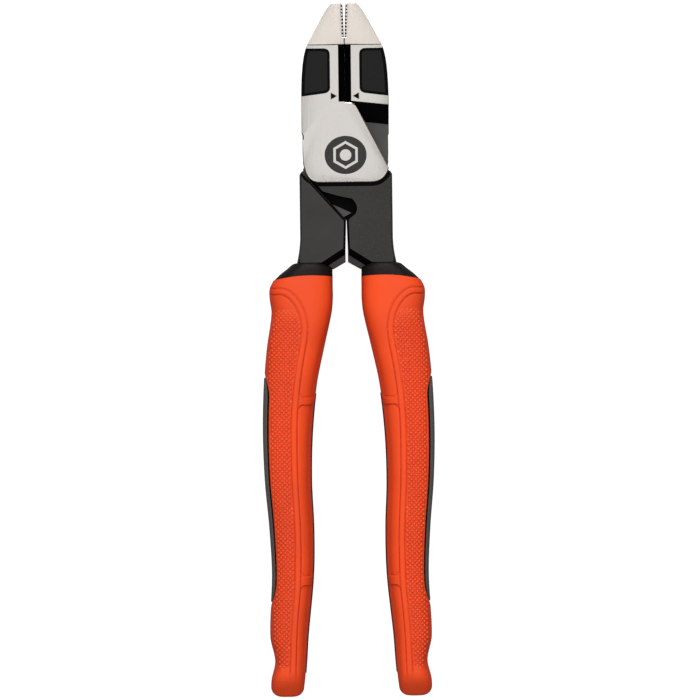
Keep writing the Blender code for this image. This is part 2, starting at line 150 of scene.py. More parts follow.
# The grip
SKIN = 2.4 * MM                            # sleeve wall
END_SLOPE = 9.0 * MM                       # length of the slope at the grip's end
END_BEND = 6.0 * MM                        # how gently that slope begins
INSERT_LIP = 1.95 * MM                     # grip's front to the insert's window
POCKET_DEPTH = 1.3 * MM                    # of the inlays' pockets
SECTION_POWER = 2.9                        # squareness of a grip's section
OUTER_CELLS, FRONT_CELLS, INNER_CELLS = 14, 82, 10   # columns of the sleeve's surface
ROW_STEP = 0.32 * MM                       # its rows
INLAY_ROWS, INLAY_LANES = 240, 17

# Studs of the sleeves and teeth of the jaws
STUD_TOP, STUD_FOOT = 0.2, 0.43            # radii of a stud, as shares of the pitch
STUD_SINK = 0.4                            # buried part of a stud, as a share of its height
SMALLEST_STUD = 0.25                       # where the panel's strength is less, there is no stud
STUD_START = 0.05                          # height from which studs are dropped on the sleeve
TOOTH_WIDTH = 0.8                          # width of a tooth, as a share of its pitch
BAND_PHASES = (0.5, 1.0, 0.5, 0.5, 1.0, 0.5)     # where each band of teeth starts, in teeth

# Share of the grip's length, inner edge, outer edge, share of the full thickness
GRIP_STATIONS = np.array((
    (0.00, 5.0 * MM, 25.1 * MM, 0.89),
    (0.025, 5.0 * MM, 27.0 * MM, 0.91),
    (0.05, 5.0 * MM, 27.1 * MM, 0.92),
    (0.085, 5.5 * MM, 26.5 * MM, 0.93),
    (0.17, 8.3 * MM, 28.3 * MM, 0.95),
    (0.255, 10.9 * MM, 29.4 * MM, 0.98),
    (0.37, 12.7 * MM, 29.9 * MM, 1.00),
    (0.485, 13.2 * MM, 29.4 * MM, 1.00),
    (0.60, 12.6 * MM, 28.0 * MM, 0.98),
    (0.71, 12.9 * MM, 27.3 * MM, 0.95),
    (0.855, 15.0 * MM, 28.2 * MM, 0.92),
    (0.915, 15.6 * MM, 26.6 * MM, 0.88),
    (0.96, 16.2 * MM, 27.95 * MM, 0.88),
    (1.00, 17.0 * MM, 28.1 * MM, 0.87),
))

# Centre of the raised rib on the grip: distance from the pivot, distance from the centreline
RIB_PATH = np.array((
    (46.6 * MM, 30.0 * MM),
    (47.2 * MM, 26.0 * MM),
    (47.2 * MM, 23.1 * MM),
    (48.3 * MM, 20.4 * MM),
    (50.9 * MM, 17.8 * MM),
    (54.4 * MM, 15.95 * MM),
    (57.7 * MM, 15.1 * MM),
    (61.3 * MM, 14.9 * MM),
    (66.3 * MM, 15.55 * MM),
    (71.8 * MM, 16.55 * MM),
    (77.7 * MM, 17.45 * MM),
    (84.0 * MM, 18.2 * MM),
    (91.0 * MM, 18.75 * MM),
    (101.0 * MM, 18.95 * MM),
    (113.0 * MM, 18.8 * MM),
    (124.0 * MM, 18.3 * MM),
    (134.0 * MM, 17.95 * MM),
    (149.0 * MM, 18.25 * MM),
    (159.0 * MM, 19.1 * MM),
    (169.0 * MM, 19.8 * MM),
    (190.0 * MM, 20.6 * MM),
))


# --- Settings a user would change

class PliersHead(bpy.types.PropertyGroup):
    nose_length: FloatProperty(name="Nose length", description="Jaw tip to the step across both jaws",
                               default=14.5 * MM, unit="LENGTH")
    nose_half_width: FloatProperty(name="Nose half width", description="Half width at that step",
                                   default=12.9 * MM, unit="LENGTH")
    tip_half_width: FloatProperty(name="Tip half width", description="Half width of the square tip",
                                  default=3.6 * MM, unit="LENGTH")
    tip_gap: FloatProperty(name="Tip gap", description="Gap between the gripping faces at the tip",
                           default=1.0 * MM, unit="LENGTH")
    teeth: IntProperty(name="Teeth", description="Teeth on each gripping face", default=10)
    tooth_depth: FloatProperty(name="Tooth depth", description="Height of a tooth",
                               default=0.7 * MM, unit="LENGTH")
    knife_half_slot: FloatProperty(name="Knife slot", description="Half width of the slot at the knives",
                                   default=2.1 * MM, unit="LENGTH")
    lap_top: FloatProperty(name="Lap top", description="Pivot to the lap's upper edge",
                           default=18.25 * MM, unit="LENGTH")
    lap_floor: FloatProperty(name="Lap floor", description="Pivot to the polished lap's lower edge",
                             default=9.4 * MM, unit="LENGTH")
    tang_thickness: FloatProperty(name="Tang thickness", description="Front to back at the shoulders",
                                  default=13.2 * MM, unit="LENGTH")
    edge: FloatProperty(name="Ground edge", description="Width of the bevel round the polished faces",
                        default=0.38 * MM, unit="LENGTH")


class PliersGrip(bpy.types.PropertyGroup):
    rib_width: FloatProperty(name="Rib width", description="Width of the raised rib",
                             default=1.7 * MM, unit="LENGTH")
    groove_depth: FloatProperty(name="Groove depth", description="Depth of the lines beside the rib",
                                default=0.32 * MM, unit="LENGTH")
    panel_depth: FloatProperty(name="Panel depth", description="Smooth panels below the rib",
                               default=0.4 * MM, unit="LENGTH")
    diamond_pitch: FloatProperty(name="Diamond pitch", description="Corner to corner size of a diamond",
                                 default=1.6 * MM, unit="LENGTH")
    diamond_height: FloatProperty(name="Diamond height", description="Height of a diamond",
                                  default=0.3 * MM, unit="LENGTH")
    insert_gap: FloatProperty(name="Insert gap", description="Dark line between sleeve and insert",
                              default=1.5 * MM, unit="LENGTH")


class PliersFinish(bpy.types.PropertyGroup):
    steel: FloatVectorProperty(name="Polished steel", description="Colour of the ground head",
                               subtype="COLOR", default=(0.425, 0.39, 0.357))
    oxide: FloatVectorProperty(name="Black oxide", description="Colour of the tangs",
                               subtype="COLOR", default=(0.033, 0.032, 0.0305))
    orange: FloatVectorProperty(name="Sleeve orange", description="Colour of the moulded sleeves",
                                subtype="COLOR", default=(0.90, 0.078, 0.014))
    collar: FloatVectorProperty(name="Collar black", description="Colour of the hard cores",
                                subtype="COLOR", default=(0.009, 0.0065, 0.0055))
    insert: FloatVectorProperty(name="Insert grey", description="Colour of the soft outer inserts",
                                subtype="COLOR", default=(0.104, 0.094, 0.091))


class PliersStage(bpy.types.PropertyGroup):
    frame_height: FloatProperty(name="Frame height", description="Height of the view at the object",
                                default=242.7 * MM, unit="LENGTH")
    camera_distance: FloatProperty(name="Camera distance", description="Camera above the floor",
                                   default=1.5, unit="LENGTH")
    roll: FloatProperty(name="Camera roll", description="Turn of the camera about its view",
                        default=math.radians(0.66), subtype="ANGLE")


# --- Mesh helpers

def smoothstep(low, high, value):
    t = np.clip((value - low) / (high - low), 0.0, 1.0)
    return t * t * (3 - 2 * t)


def smooth_curve(table, at, column=1):
    """Cubic through one column of a table whose first column rises."""
    keys, values = table[:, 0], table[:, column]
    at = np.clip(at, keys[0], keys[-1])
    i = np.clip(np.searchsorted(keys, at, side="right") - 1, 0, len(keys) - 2)
    before, beyond = np.maximum(i - 1, 0), np.minimum(i + 2, len(keys) - 1)
    span = keys[i + 1] - keys[i]
    t = (at - keys[i]) / span
    slope_here = (values[i + 1] - values[before]) / (keys[i + 1] - keys[before]) * span
    slope_after = (values[beyond] - values[i]) / (keys[beyond] - keys[i]) * span
    rise = values[i + 1] - values[i]
    return (values[i] + slope_here * t + (3 * rise - 2 * slope_here - slope_after) * t ** 2
            + (slope_here + slope_after - 2 * rise) * t ** 3)


def bend(start, corner, end, steps=8):
    """Points of a quadratic curve, both ends included."""
    ts = [i / steps for i in range(steps + 1)]
    return [tuple((1 - t) ** 2 * a + 2 * t * (1 - t) * b + t * t * c
                  for a, b, c in zip(start, corner, end)) for t in ts]


def inset(outline, distance):
    """The outline moved inwards, for an anticlockwise outline."""
    moved = []
    for i, point in enumerate(outline):
        before, after = Vector(outline[i - 1]), Vector(outline[(i + 1) % len(outline)])
        one = (Vector(point) - before).normalized()
        two = (after - Vector(point)).normalized()
        normal_one, normal_two = Vector((-one.y, one.x)), Vector((-two.y, two.x))
        miter = (normal_one + normal_two) / max(1 + normal_one.dot(normal_two), 0.3)
        moved.append(tuple(Vector(point) + miter * distance))
    return moved


def add_object(name, mesh):
    obj = bpy.data.objects.new(name, mesh)
    bpy.context.scene.collection.objects.link(obj)
    return obj


def loft(name, rings, materials=(), side=0, caps=(0, 0)):
    """Closed solid through rings of equal length, with flat caps and a material for each part."""
    bm = bmesh.new()
    loops = [[bm.verts.new(point) for point in ring] for ring in rings]
    for lower, upper in zip(loops, loops[1:]):
        for i, vert in enumerate(lower):
            j = (i + 1) % len(lower)
            face = bm.faces.new((vert, lower[j], upper[j], upper[i]))
            face.material_index = side
    for cap, loop in zip(caps, (loops[0], loops[-1])):
        bm.faces.new(loop).material_index = cap
    bmesh.ops.recalc_face_normals(bm, faces=bm.faces)
    mesh = bpy.data.meshes.new(name)
    bm.to_mesh(mesh)
    bm.free()
    for material in materials:
        mesh.materials.append(material)
    return add_object(name, mesh)


def stack(name, levels, materials=(), side=0, caps=(0, 0)):
    """Solid through outlines drawn in X and Y, each at its own height."""
    rings = [[(x, y, z) for x, y in outline] for z, outline in levels]
    return loft(name, rings, materials, side, caps)


def edged_plate(name, outline, half, edge, materials):
    """Plate with a shallow bevel round both faces; materials for faces, sides and bevels."""
    inner, drop = inset(outline, edge), 0.4 * edge
    levels = [(-half, inner), (-half + drop, outline), (half - drop, outline), (half, inner)]
    plate = stack(name, levels, materials, 1)
    for face in plate.data.polygons:
        if 0.3 < abs(face.normal.z) < 0.99:
            face.material_index = 2
    return plate


def join(objects):
    """Joins the objects into the first one."""
    with bpy.context.temp_override(active_object=objects[0], selected_editable_objects=objects,
                                   object=objects[0]):
        bpy.ops.object.join()
    return objects[0]


def combine(target, tool, operation="DIFFERENCE"):
    """Applies one exact Boolean, keeping the tool's material on what it cuts, and removes the tool."""
    modifier = target.modifiers.new("cut", "BOOLEAN")
    modifier.operation = operation
    modifier.solver = "EXACT"
    modifier.material_mode = "TRANSFER"
    modifier.object = tool
    bpy.context.view_layer.update()
    evaluated = target.evaluated_get(bpy.context.evaluated_depsgraph_get())
    result = bpy.data.meshes.new_from_object(evaluated)
    target.modifiers.clear()
    target.data = result
    bpy.data.objects.remove(tool, do_unlink=True)


def grid_faces(rows, columns, first=0, close=True):
    """Quads of a grid of vertices, row after row; close joins the last column to the first."""
    faces = []
    wide = columns if close else columns - 1
    for r in range(rows - 1):
        for c in range(wide):
            d = (c + 1) % columns
            a, b = first + r * columns, first + (r + 1) * columns
            faces.append((a + c, a + d, b + d, b + c))
    return faces


def mesh_from(name, points, faces, materials, indices=None, attributes=None):
    """Object from points and faces, with material indices and values on its points."""
    mesh = bpy.data.meshes.new(name)
    mesh.from_pydata([tuple(p) for p in points], [], faces)
    for material in materials:
        mesh.materials.append(material)
    if indices is not None:
        mesh.polygons.foreach_set("material_index", indices)
    for label, values in (attributes or {}).items():
        mesh.attributes.new(label, "FLOAT", "POINT").data.foreach_set("value", values)
    bm = bmesh.new()
    bm.from_mesh(mesh)
    bmesh.ops.recalc_face_normals(bm, faces=bm.faces)
    bm.to_mesh(mesh)
    bm.free()
    return add_object(name, mesh)


def finish_pair(obj, names, nodes, angle=30.0, materials=()):
    """Places a piece at the pivot and its twin, turned half a turn about the long axis."""
    twin = add_object(names[1], obj.data.copy())
    obj.name = obj.data.name = names[0]
    twin.data.name = names[1]
    place = Matrix.Translation(PIVOT)
    obj.data.transform(place)
    twin.data.transform(place @ Matrix.Rotation(math.pi, 4, "Y"))
    for i, material in enumerate(materials):
        twin.data.materials[i] = material
    for piece, node, body in zip((obj, twin), nodes, (FRONT_BODY, REAR_BODY)):
        piece.data.shade_smooth()
        piece.data.set_sharp_from_angle(angle=math.radians(angle))
        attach(piece, body)
        if node:
            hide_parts(node)


# --- Shader groups and materials

FLOAT, INTEGER, VECTOR = "NodeSocketFloat", "NodeSocketInt", "NodeSocketVector"
MATERIAL, OBJECT, GEOMETRY = "NodeSocketMaterial", "NodeSocketObject", "NodeSocketGeometry"


def feed(tree, socket, value):
    """Links a socket, or sets it to a constant."""
    if isinstance(value, bpy.types.NodeSocket):
        tree.links.new(value, socket)
    else:
        socket.default_value = value


def node(tree, kind, inputs=None, **settings):
    """Adds a node with its settings, then feeds its inputs by name or by number."""
    made = tree.nodes.new(kind)
    for key, value in settings.items():
        setattr(made, key, value)
    for socket, value in (inputs or {}).items():
        feed(tree, made.inputs[socket], value)
    return made


def new_tree(name, kind, inputs, outputs):
    """Group with named sockets; returns the tree, its input node and its output node."""
    tree = bpy.data.node_groups.new(name, kind)
    for label, socket_kind, default in inputs:
        socket = tree.interface.new_socket(label, in_out="INPUT", socket_type=socket_kind)
        if default is not None:
            socket.default_value = default
    for label, socket_kind in outputs:
        tree.interface.new_socket(label, in_out="OUTPUT", socket_type=socket_kind)
    return tree, tree.nodes.new("NodeGroupInput"), tree.nodes.new("NodeGroupOutput")


def math_node(tree, operation, *values):
    return node(tree, "ShaderNodeMath", dict(enumerate(values)), operation=operation).outputs[0]


def vector(tree, x, y, z):
    return node(tree, "ShaderNodeCombineXYZ", {0: x, 1: y, 2: z}).outputs[0]


def ramp_value(tree, value, low, high, to_low=0.0, to_high=1.0):
    """Smooth ramp from one range of values to another."""
    return node(tree, "ShaderNodeMapRange", {
        "Value": value, "From Min": low, "From Max": high, "To Min": to_low,
        "To Max": to_high}, interpolation_type="SMOOTHSTEP").outputs["Result"]


def noise(tree, scale, detail=3.0, roughness=0.5, stretch=(1.0, 1.0, 1.0)):
    """Noise on Object coordinates; stretch above 1 packs it closer along that axis."""
    place = node(tree, "ShaderNodeTexCoord").outputs["Object"]
    mapping = node(tree, "ShaderNodeMapping", {"Vector": place, "Scale": stretch})
    return node(tree, "ShaderNodeTexNoise", {
        "Vector": mapping.outputs[0], "Scale": scale, "Detail": detail,
        "Roughness": roughness}).outputs["Fac"]


def build_edge_wear():
    """Mask of worn outer edges, broken up by noise."""
    tree, given, out = new_tree("edge_wear", "ShaderNodeTree", [
        ("Width", FLOAT, 0.0004), ("Amount", FLOAT, 0.5)], [("Mask", FLOAT)])
    bevel = node(tree, "ShaderNodeBevel", {"Radius": given.outputs["Width"]}, samples=6)
    flat = node(tree, "ShaderNodeNewGeometry").outputs["Normal"]
    dot = node(tree, "ShaderNodeVectorMath", {0: bevel.outputs[0], 1: flat},
               operation="DOT_PRODUCT")
    edge = ramp_value(tree, dot.outputs["Value"], 0.999, 0.90)
    broken = ramp_value(tree, noise(tree, 900.0, 4.0), 0.40, 0.62)
    worn = math_node(tree, "MULTIPLY", edge, broken)
    feed(tree, out.inputs["Mask"], math_node(tree, "MULTIPLY", worn, given.outputs["Amount"]))


def build_grinding():
    """Fine lines along the tool's length, as left by a grinding belt."""
    tree, given, out = new_tree("grinding", "ShaderNodeTree", [("Lines", FLOAT, 5200.0)],
                                [("Height", FLOAT), ("Tone", FLOAT)])
    fine = noise(tree, given.outputs["Lines"], 2.0, 0.6, (1.0, 0.012, 0.012))
    broad = noise(tree, 900.0, 2.0, 0.5, (1.0, 0.02, 0.02))
    both = math_node(tree, "ADD", math_node(tree, "MULTIPLY", fine, 0.6),
                     math_node(tree, "MULTIPLY", broad, 0.4))
    feed(tree, out.inputs["Height"], both)
    feed(tree, out.inputs["Tone"], ramp_value(tree, both, 0.30, 0.70))


def build_grain():
    """Fine pitted grain, with a broad mottle for colour."""
    tree, given, out = new_tree("grain", "ShaderNodeTree", [
        ("Scale", FLOAT, 3000.0), ("Mottle", FLOAT, 60.0)],
        [("Height", FLOAT), ("Mottle", FLOAT), ("Speck", FLOAT)])
    fine = noise(tree, given.outputs["Scale"], 4.0, 0.6)
    broad = noise(tree, given.outputs["Mottle"], 3.0)
    feed(tree, out.inputs["Height"], fine)
    feed(tree, out.inputs["Mottle"], ramp_value(tree, broad, 0.3, 0.7))
    feed(tree, out.inputs["Speck"], ramp_value(tree, fine, 0.60, 0.72))


def use_group(tree, name, **values):
    return node(tree, "ShaderNodeGroup", values, node_tree=bpy.data.node_groups[name]).outputs


def mix_color(tree, factor, first, second):
    """Mixes two colours; each is a socket or three numbers."""
    first, second = (color if isinstance(color, bpy.types.NodeSocket) else (*color, 1.0)
                     for color in (first, second))
    return node(tree, "ShaderNodeMix", {"Factor": factor, 6: first, 7: second},
                data_type="RGBA").outputs[2]


def shade(color, factor):
    return tuple(min(channel * factor, 1.0) for channel in color)


def start_material(name, metallic, specular=0.5):
    material = bpy.data.materials.new(name)
    material.use_nodes = True
    shader = material.node_tree.nodes["Principled BSDF"]
    shader.inputs["Metallic"].default_value = metallic
    shader.inputs["Specular IOR Level"].default_value = specular
    return material, material.node_tree, shader


def set_surface(tree, shader, color, mask, roughness, height, depth):
    """Feeds the colour, the roughness between two values along a mask, and the bump."""
    feed(tree, shader.inputs["Base Color"], color)
    feed(tree, shader.inputs["Roughness"], ramp_value(tree, mask, 0.0, 1.0, *roughness))
    bump = node(tree, "ShaderNodeBump", {"Strength": 1.0, "Distance": depth, "Height": height})
    feed(tree, shader.inputs["Normal"], bump.outputs[0])


def ground_steel(name, color, low, high, depth, contrast):
    """Steel with grinding lines along the tool; low and high are its roughness range."""
    material, tree, shader = start_material(name, 1.0)
    lines = use_group(tree, "grinding")
    mottle = use_group(tree, "grain", Scale=2600.0, Mottle=45.0)
    tone = mix_color(tree, lines["Tone"], shade(color, 1 - contrast), shade(color, 1 + contrast / 2))
    tone = mix_color(tree, math_node(tree, "MULTIPLY", mottle["Mottle"], 0.35), tone,
                     shade(color, 0.92))
    set_surface(tree, shader, tone, lines["Tone"], (low, high), lines["Height"], depth)
    return material


def oxide_steel(name, color, scale, depth, specks, roughness, worn=3.0, metallic=0.4):
    """Black oxide over a forged skin, thin along its edges."""
    material, tree, shader = start_material(name, metallic, 0.15 if metallic else 0.04)
    grain = use_group(tree, "grain", Scale=scale, Mottle=90.0)
    wear = use_group(tree, "edge_wear", Width=0.0003, Amount=0.35)["Mask"]
    tone = mix_color(tree, grain["Mottle"], shade(color, 0.80), shade(color, 1.15))
    tone = mix_color(tree, math_node(tree, "MULTIPLY", grain["Speck"], specks), tone, shade(color, 3.2))
    tone = mix_color(tree, wear, tone, shade(color, worn))
    set_surface(tree, shader, tone, grain["Mottle"], (roughness - 0.06, roughness + 0.06),
                grain["Height"], depth)
    return material


def moulded(name, color, scale, depth, roughness, worn, specular):
    """Moulded rubber or plastic with a fine skin and slightly lighter edges."""
    material, tree, shader = start_material(name, 0.0, specular)
    grain = use_group(tree, "grain", Scale=scale, Mottle=35.0)
    wear = use_group(tree, "edge_wear", Width=0.0003, Amount=0.5)["Mask"]
    tone = mix_color(tree, grain["Mottle"], shade(color, 0.93), shade(color, 1.05))
    tone = mix_color(tree, wear, tone, shade(color, worn))
    set_surface(tree, shader, tone, grain["Mottle"], (roughness - 0.05, roughness + 0.05),
                grain["Height"], depth)
    return material


def sleeve_skin(name, color):
    """Orange rubber with painted shade in its creases, between its diamonds and where it turns away."""
    tree = moulded(name, color, 3400.0, 0.000012, 0.55, 1.12, 0.2).node_tree
    base = tree.nodes["Principled BSDF"].inputs["Base Color"]
    tint = base.links[0].from_socket
    # Painted shade: the sleeve's panel and crease masks darken and redden the orange in the creases and
    # between the diamonds.
    for label, amount, factor in (("panel", 0.65, 0.72), ("crease", 0.65, 0.6)):
        mask = node(tree, "ShaderNodeAttribute", attribute_name=label).outputs["Fac"]
        painted_shade_tone = (color[0] * factor, color[1] * factor ** 2, color[2] * factor ** 2)
        tint = mix_color(tree, math_node(tree, "MULTIPLY", mask, amount), tint, painted_shade_tone)
    # Painted shade where the surface turns away from the view, darker and redder.
    facing = node(tree, "ShaderNodeLayerWeight", {"Blend": 0.5}).outputs["Facing"]
    away = math_node(tree, "MULTIPLY", math_node(tree, "POWER", facing, 1.6), 0.85)
    feed(tree, base, mix_color(tree, away, tint, (color[0] * 0.75, color[1] * 0.3, color[2] * 0.2)))


def material(name):
    return bpy.data.materials[name]


# --- Outlines of the forged half: left jaw, front lap, right tang

def jaw_side(head):
    """Outer edge of the right jaw, tip to nose step, then nose step to lap."""
    step = JAW_REACH - head.nose_length
    flat = head.tip_half_width
    slope = (head.nose_half_width - flat - 0.3 * TIP_ROUND) / head.nose_length
    past_tip = (head.nose_half_width - slope * (head.nose_length - TIP_ROUND), JAW_REACH - TIP_ROUND)
    tip = bend((flat, JAW_REACH), (flat + 0.35 * TIP_ROUND, JAW_REACH - 0.12 * TIP_ROUND), past_tip, 8)
    corner = (HEAD_SIDE, step - (HEAD_SIDE - head.nose_half_width) / slope)
    side = bend((head.nose_half_width, step), corner, (HEAD_SIDE, head.lap_top), 14)
    return tip, side


def seam_y(x, distance):
    """Height of a line at the stop angle, so far from the pivot."""
    return -(distance + x * math.cos(STOP_ANGLE)) / math.sin(STOP_ANGLE)


def diagonal_y(x):
    """Height of the lap's slanted edge."""
    return (DIAGONAL_DISTANCE - x * math.cos(DIAGONAL_TILT)) / math.sin(DIAGONAL_TILT)


def gripping_line(head):
    """Root line of the teeth: its lower and its upper end."""
    root = head.tooth_depth
    low = (-CLEARANCE / 2 - root, JAW_REACH - GRIPPING_LENGTH)
    high = (-head.tip_gap / 2 - root, JAW_REACH)
    return low, high


def lap_foot(head):
    """Lower edge of the polished lap, left to right."""
    floor = -head.lap_floor
    corner = bend((-LAP_SIDE, 0.5 * MM), (-LAP_SIDE + 0.3 * MM, floor), (-9.0 * MM, floor), 12)
    end = (LAP_SIDE, diagonal_y(LAP_SIDE))
    right = bend((8.7 * MM, floor), (13.2 * MM, floor), (LAP_SIDE - 0.1 * MM, end[1] - 0.4 * MM), 8)
    return corner + right + [end]


def head_outline(head):
    """The polished jaw and lap, anticlockwise from the inner tip corner."""
    tip, side = jaw_side(head)
    low, high = gripping_line(head)
    left = [(-x, y) for x, y in tip + side]
    side_end = [(-HEAD_SIDE, 7.8 * MM), (-LAP_SIDE, 7.2 * MM)]
    top = head.lap_top
    upper = bend((4.4 * MM, diagonal_y(4.4 * MM)), (3.3 * MM, top), (1.2 * MM, top), 6)
    inner = [(-JAW_GAP, top), (-JAW_GAP, low[1] - 0.3 * MM), low]
    return [high] + left + side_end + lap_foot(head) + upper + inner


def nose_outline(head):
    """The raised nose, anticlockwise from the inner tip corner."""
    tip, _ = jaw_side(head)
    low, high = gripping_line(head)
    step = JAW_REACH - head.nose_length
    left = [(-x, y) for x, y in tip] + [(-head.nose_half_width, step)]
    return [high] + left + [(-JAW_GAP, step), (-JAW_GAP, low[1] - 0.3 * MM), low]


def tang_outline():
    """The dark half below the lap and the right tang down to the collar."""
    half_gap = CLEARANCE / 2
    radius = SEAM_DISTANCE - half_gap
    first = math.acos(LAP_SIDE / radius)
    turns = [first + (STOP_ANGLE - first) * i / 10 for i in range(11)]
    arc = [(-radius * math.cos(a), -radius * math.sin(a)) for a in turns]
    inner = 0.42 * MM
    seam_end = (-half_gap, seam_y(-half_gap, radius))
    rest = COLLAR_TOP + 0.7 * MM
    shoulder = HEAD_SIDE + 1.0 * MM
    tang = [(0.06 * MM, seam_end[1] - 0.25 * MM), (inner, -33 * MM), (inner, -rest + 0.9 * MM),
            (4.8 * MM, -rest - 1.6 * MM), (7.2 * MM, -rest)]
    tang += bend((shoulder + 1.4 * MM, -rest), (shoulder + 0.15 * MM, -rest + 4.6 * MM),
                 (shoulder, -rest + 9.3 * MM), 5)
    end = (LAP_SIDE, diagonal_y(LAP_SIDE))
    tang += [(shoulder, end[1] - 1.9 * MM), (shoulder - 0.5 * MM, end[1] - 1.0 * MM),
             (LAP_SIDE - 0.5 * MM, end[1] - 0.1 * MM), (10.5 * MM, 2.0 * MM)]
    return [(-LAP_SIDE + 0.4 * MM, 2.0 * MM)] + arc + [seam_end] + tang


def recess_cutter(head, half, mouth, jaw, materials):
    """Space of the other half's lap: the jaw's side of it, or the tang's. The mouth is bevelled."""
    far = 2 * HEAD_SIDE
    seam = SEAM_DISTANCE + CLEARANCE / 2
    shoulder_top = head.lap_top + 1.5 * CLEARANCE

    def edge(x, lower):
        return (x, shoulder_top + SHOULDER_DROP * x - lower)

    def outline(grow, ramp):
        if not jaw:
            foot = (CLEARANCE / 2 + grow * 0.6, seam_y(-CLEARANCE / 2, seam + grow))
            return [(-far, foot[1] - 9 * MM), (foot[0], foot[1] - 9 * MM), foot,
                    (far, seam_y(-far, seam + grow)), (far, far), (0.0, far), (0.0, 12 * MM),
                    (-far, 12 * MM)]
        top_x = -3.4 * MM
        foot_x = -7.0 * MM
        points = [(-far, -far), (far, -far), (far, far), (0.0, far), edge(0.0, -grow)]
        if ramp:
            return points + [edge(top_x, CLEARANCE), edge(foot_x, RAMP_RUN), edge(-far, RAMP_RUN)]
        return points + [edge(top_x, -grow), edge(top_x - CLEARANCE, -grow), edge(-far, -grow)]

    levels = [(-half - BEYOND, outline(mouth, False)), (-half, outline(mouth, False)),
              (-half + mouth, outline(0.0, False)), (CLEARANCE / 2, outline(0.0, jaw))]
    return stack("recess", levels, materials, 0, (0, 1))


def knife_cutter(head, side, materials):
    """One side of the slot between the knives, from the cutting edge outwards."""
    edge, wall = -JAW_GAP, -head.knife_half_slot
    top = HALF_HEAD + BEYOND
    profile = [(edge, 0.0), (wall, side * KNIFE_BEVEL), (wall, side * (FACE - KNIFE_MOUTH)),
               (wall - KNIFE_MOUTH, side * FACE), (wall - KNIFE_MOUTH, side * top),
               (BEYOND, side * top), (BEYOND, 0.0)]
    ends = (head.lap_top + CLEARANCE, JAW_REACH - head.nose_length)
    return loft("knife", [[(x, y, z) for x, z in profile] for y in ends], materials)


def pad_outline(head, short=None):
    """Dark pad on the left jaw: rounded inner corners, open to the outer edge or short of it."""
    top, low = JAW_REACH - head.nose_length - 1.6 * MM, head.lap_top + 3.7 * MM
    inner, far = -5.4 * MM, -2 * HEAD_SIDE
    slope = 0.125

    def lower(x):
        return low + slope * (x - inner)

    if short is not None:
        sides = [point for point in jaw_side(head)[1] if lower(-point[0]) < point[1] < top]
        outer = [(-x + short * 0.35, y) for x, y in sides]
        end = (outer[-1][0], lower(outer[-1][0]))
        outer = [(outer[0][0] + 0.1 * MM, top)] + outer + [end]
    else:
        outer = [(far, top), (far, lower(far))]
    points = bend((inner - 2.0 * MM, lower(inner - 2.0 * MM)), (inner, low), (inner, low + 1.6 * MM), 5)
    points += bend((inner, top - 1.9 * MM), (inner, top), (inner - 2.0 * MM, top), 6)
    return points + outer


def pocket_outline():
    """Relief pocket beside the tang, open towards the other half's shoulder."""
    y = seam_y(0.0, SEAM_DISTANCE)
    points = bend((-8.6 * MM, y + 10.1 * MM), (-2.0 * MM, y + 7.9 * MM), (1.2 * MM, y + 7.5 * MM), 5)
    points += bend((2.0 * MM, y + 7.3 * MM), (4.6 * MM, y + 4.6 * MM), (2.9 * MM, y + 2.2 * MM), 6)
    points += [(0.9 * MM, y + 0.6 * MM), (-2.5 * MM, y - 2.0 * MM), (-14.0 * MM, y + 9.0 * MM)]
    return points[::-1]


def ring_points(radius, sides, turn=0.0, squash=1.0):
    return [(radius * math.cos(2 * math.pi * i / sides + turn),
             squash * radius * math.sin(2 * math.pi * i / sides + turn)) for i in range(sides)]


def corner_cutter(side, half, materials):
    """Steps the tang's inner lower corner down to a lower facet above the collar."""
    line = [Vector((-1.0 * MM, -31.0 * MM)), Vector((9.4 * MM, -37.6 * MM))]
    away = Vector((-5.3, -8.4)).normalized()

    def outline(shift):
        near = [point + away * shift for point in line]
        return [tuple(near[0]), tuple(near[0] + away * 12 * MM), tuple(near[1] + away * 12 * MM),
                tuple(near[1])]

    levels = [(side * 3.4 * MM, outline(2.2 * MM)), (side * half, outline(0.0)),
              (side * (half + BEYOND), outline(0.0))]
    return stack("corner", levels, materials, 0, (1, 0))


def flare_cutter(side, half, materials):
    """Slopes the tang's flare away below the flat face."""
    near = HEAD_SIDE + 0.35 * MM
    far = 2 * HEAD_SIDE
    top, bottom = -26 * MM, -40 * MM

    def outline(shift):
        return [(near + shift, top), (far, top), (far, bottom), (near + 0.9 * MM + shift, bottom)]

    levels = [(side * 0.5 * MM, outline(4.5 * MM)), (side * half, outline(0.0)),
              (side * (half + BEYOND), outline(0.0))]
    return stack("flare", levels, materials)


def cut(target, name, outline, low, high, surface, sides=(-1, 1)):
    """Cuts a straight-walled recess between two heights, on the back and the front."""
    for side in sides:
        combine(target, stack(name, [(side * low, outline), (side * high, outline)], [surface]))


def forge_tang(head, oxide, deep, lap):
    """The dark part: the ground below the lap, and the tang with its step, facet and flare."""
    half = head.tang_thickness / 2
    plan = tang_outline()
    drafted = [(0.0, plan), (half - 1.2 * MM, inset(plan, 0.45 * MM)), (half, inset(plan, 0.8 * MM))]
    # The drafted sides take a darker copy of the oxide: painted shade.
    tang = stack("tang", [(-z, ring) for z, ring in reversed(drafted[1:])] + drafted,
                 [oxide, material("tang_side_painted_shade")], 1, (0, 0))
    step = inset([(-LAP_SIDE, 6 * MM)] + lap_foot(head) + [(LAP_SIDE, 6 * MM)], -1.45 * MM)
    # The step below the lap, the lower facet, the flare's slope and the recess walls take the near-black
    # finish: painted shade on faces turned from the light.
    for side in (-1, 1):
        cut(tang, "step", step, half - 0.7 * MM, HALF_HEAD + MM, deep, (side,))
        combine(tang, corner_cutter(side, half, [deep, oxide]))
        combine(tang, flare_cutter(side, half, [deep]))
    combine(tang, recess_cutter(head, half, TANG_MOUTH, False, [deep, lap]))
    return tang


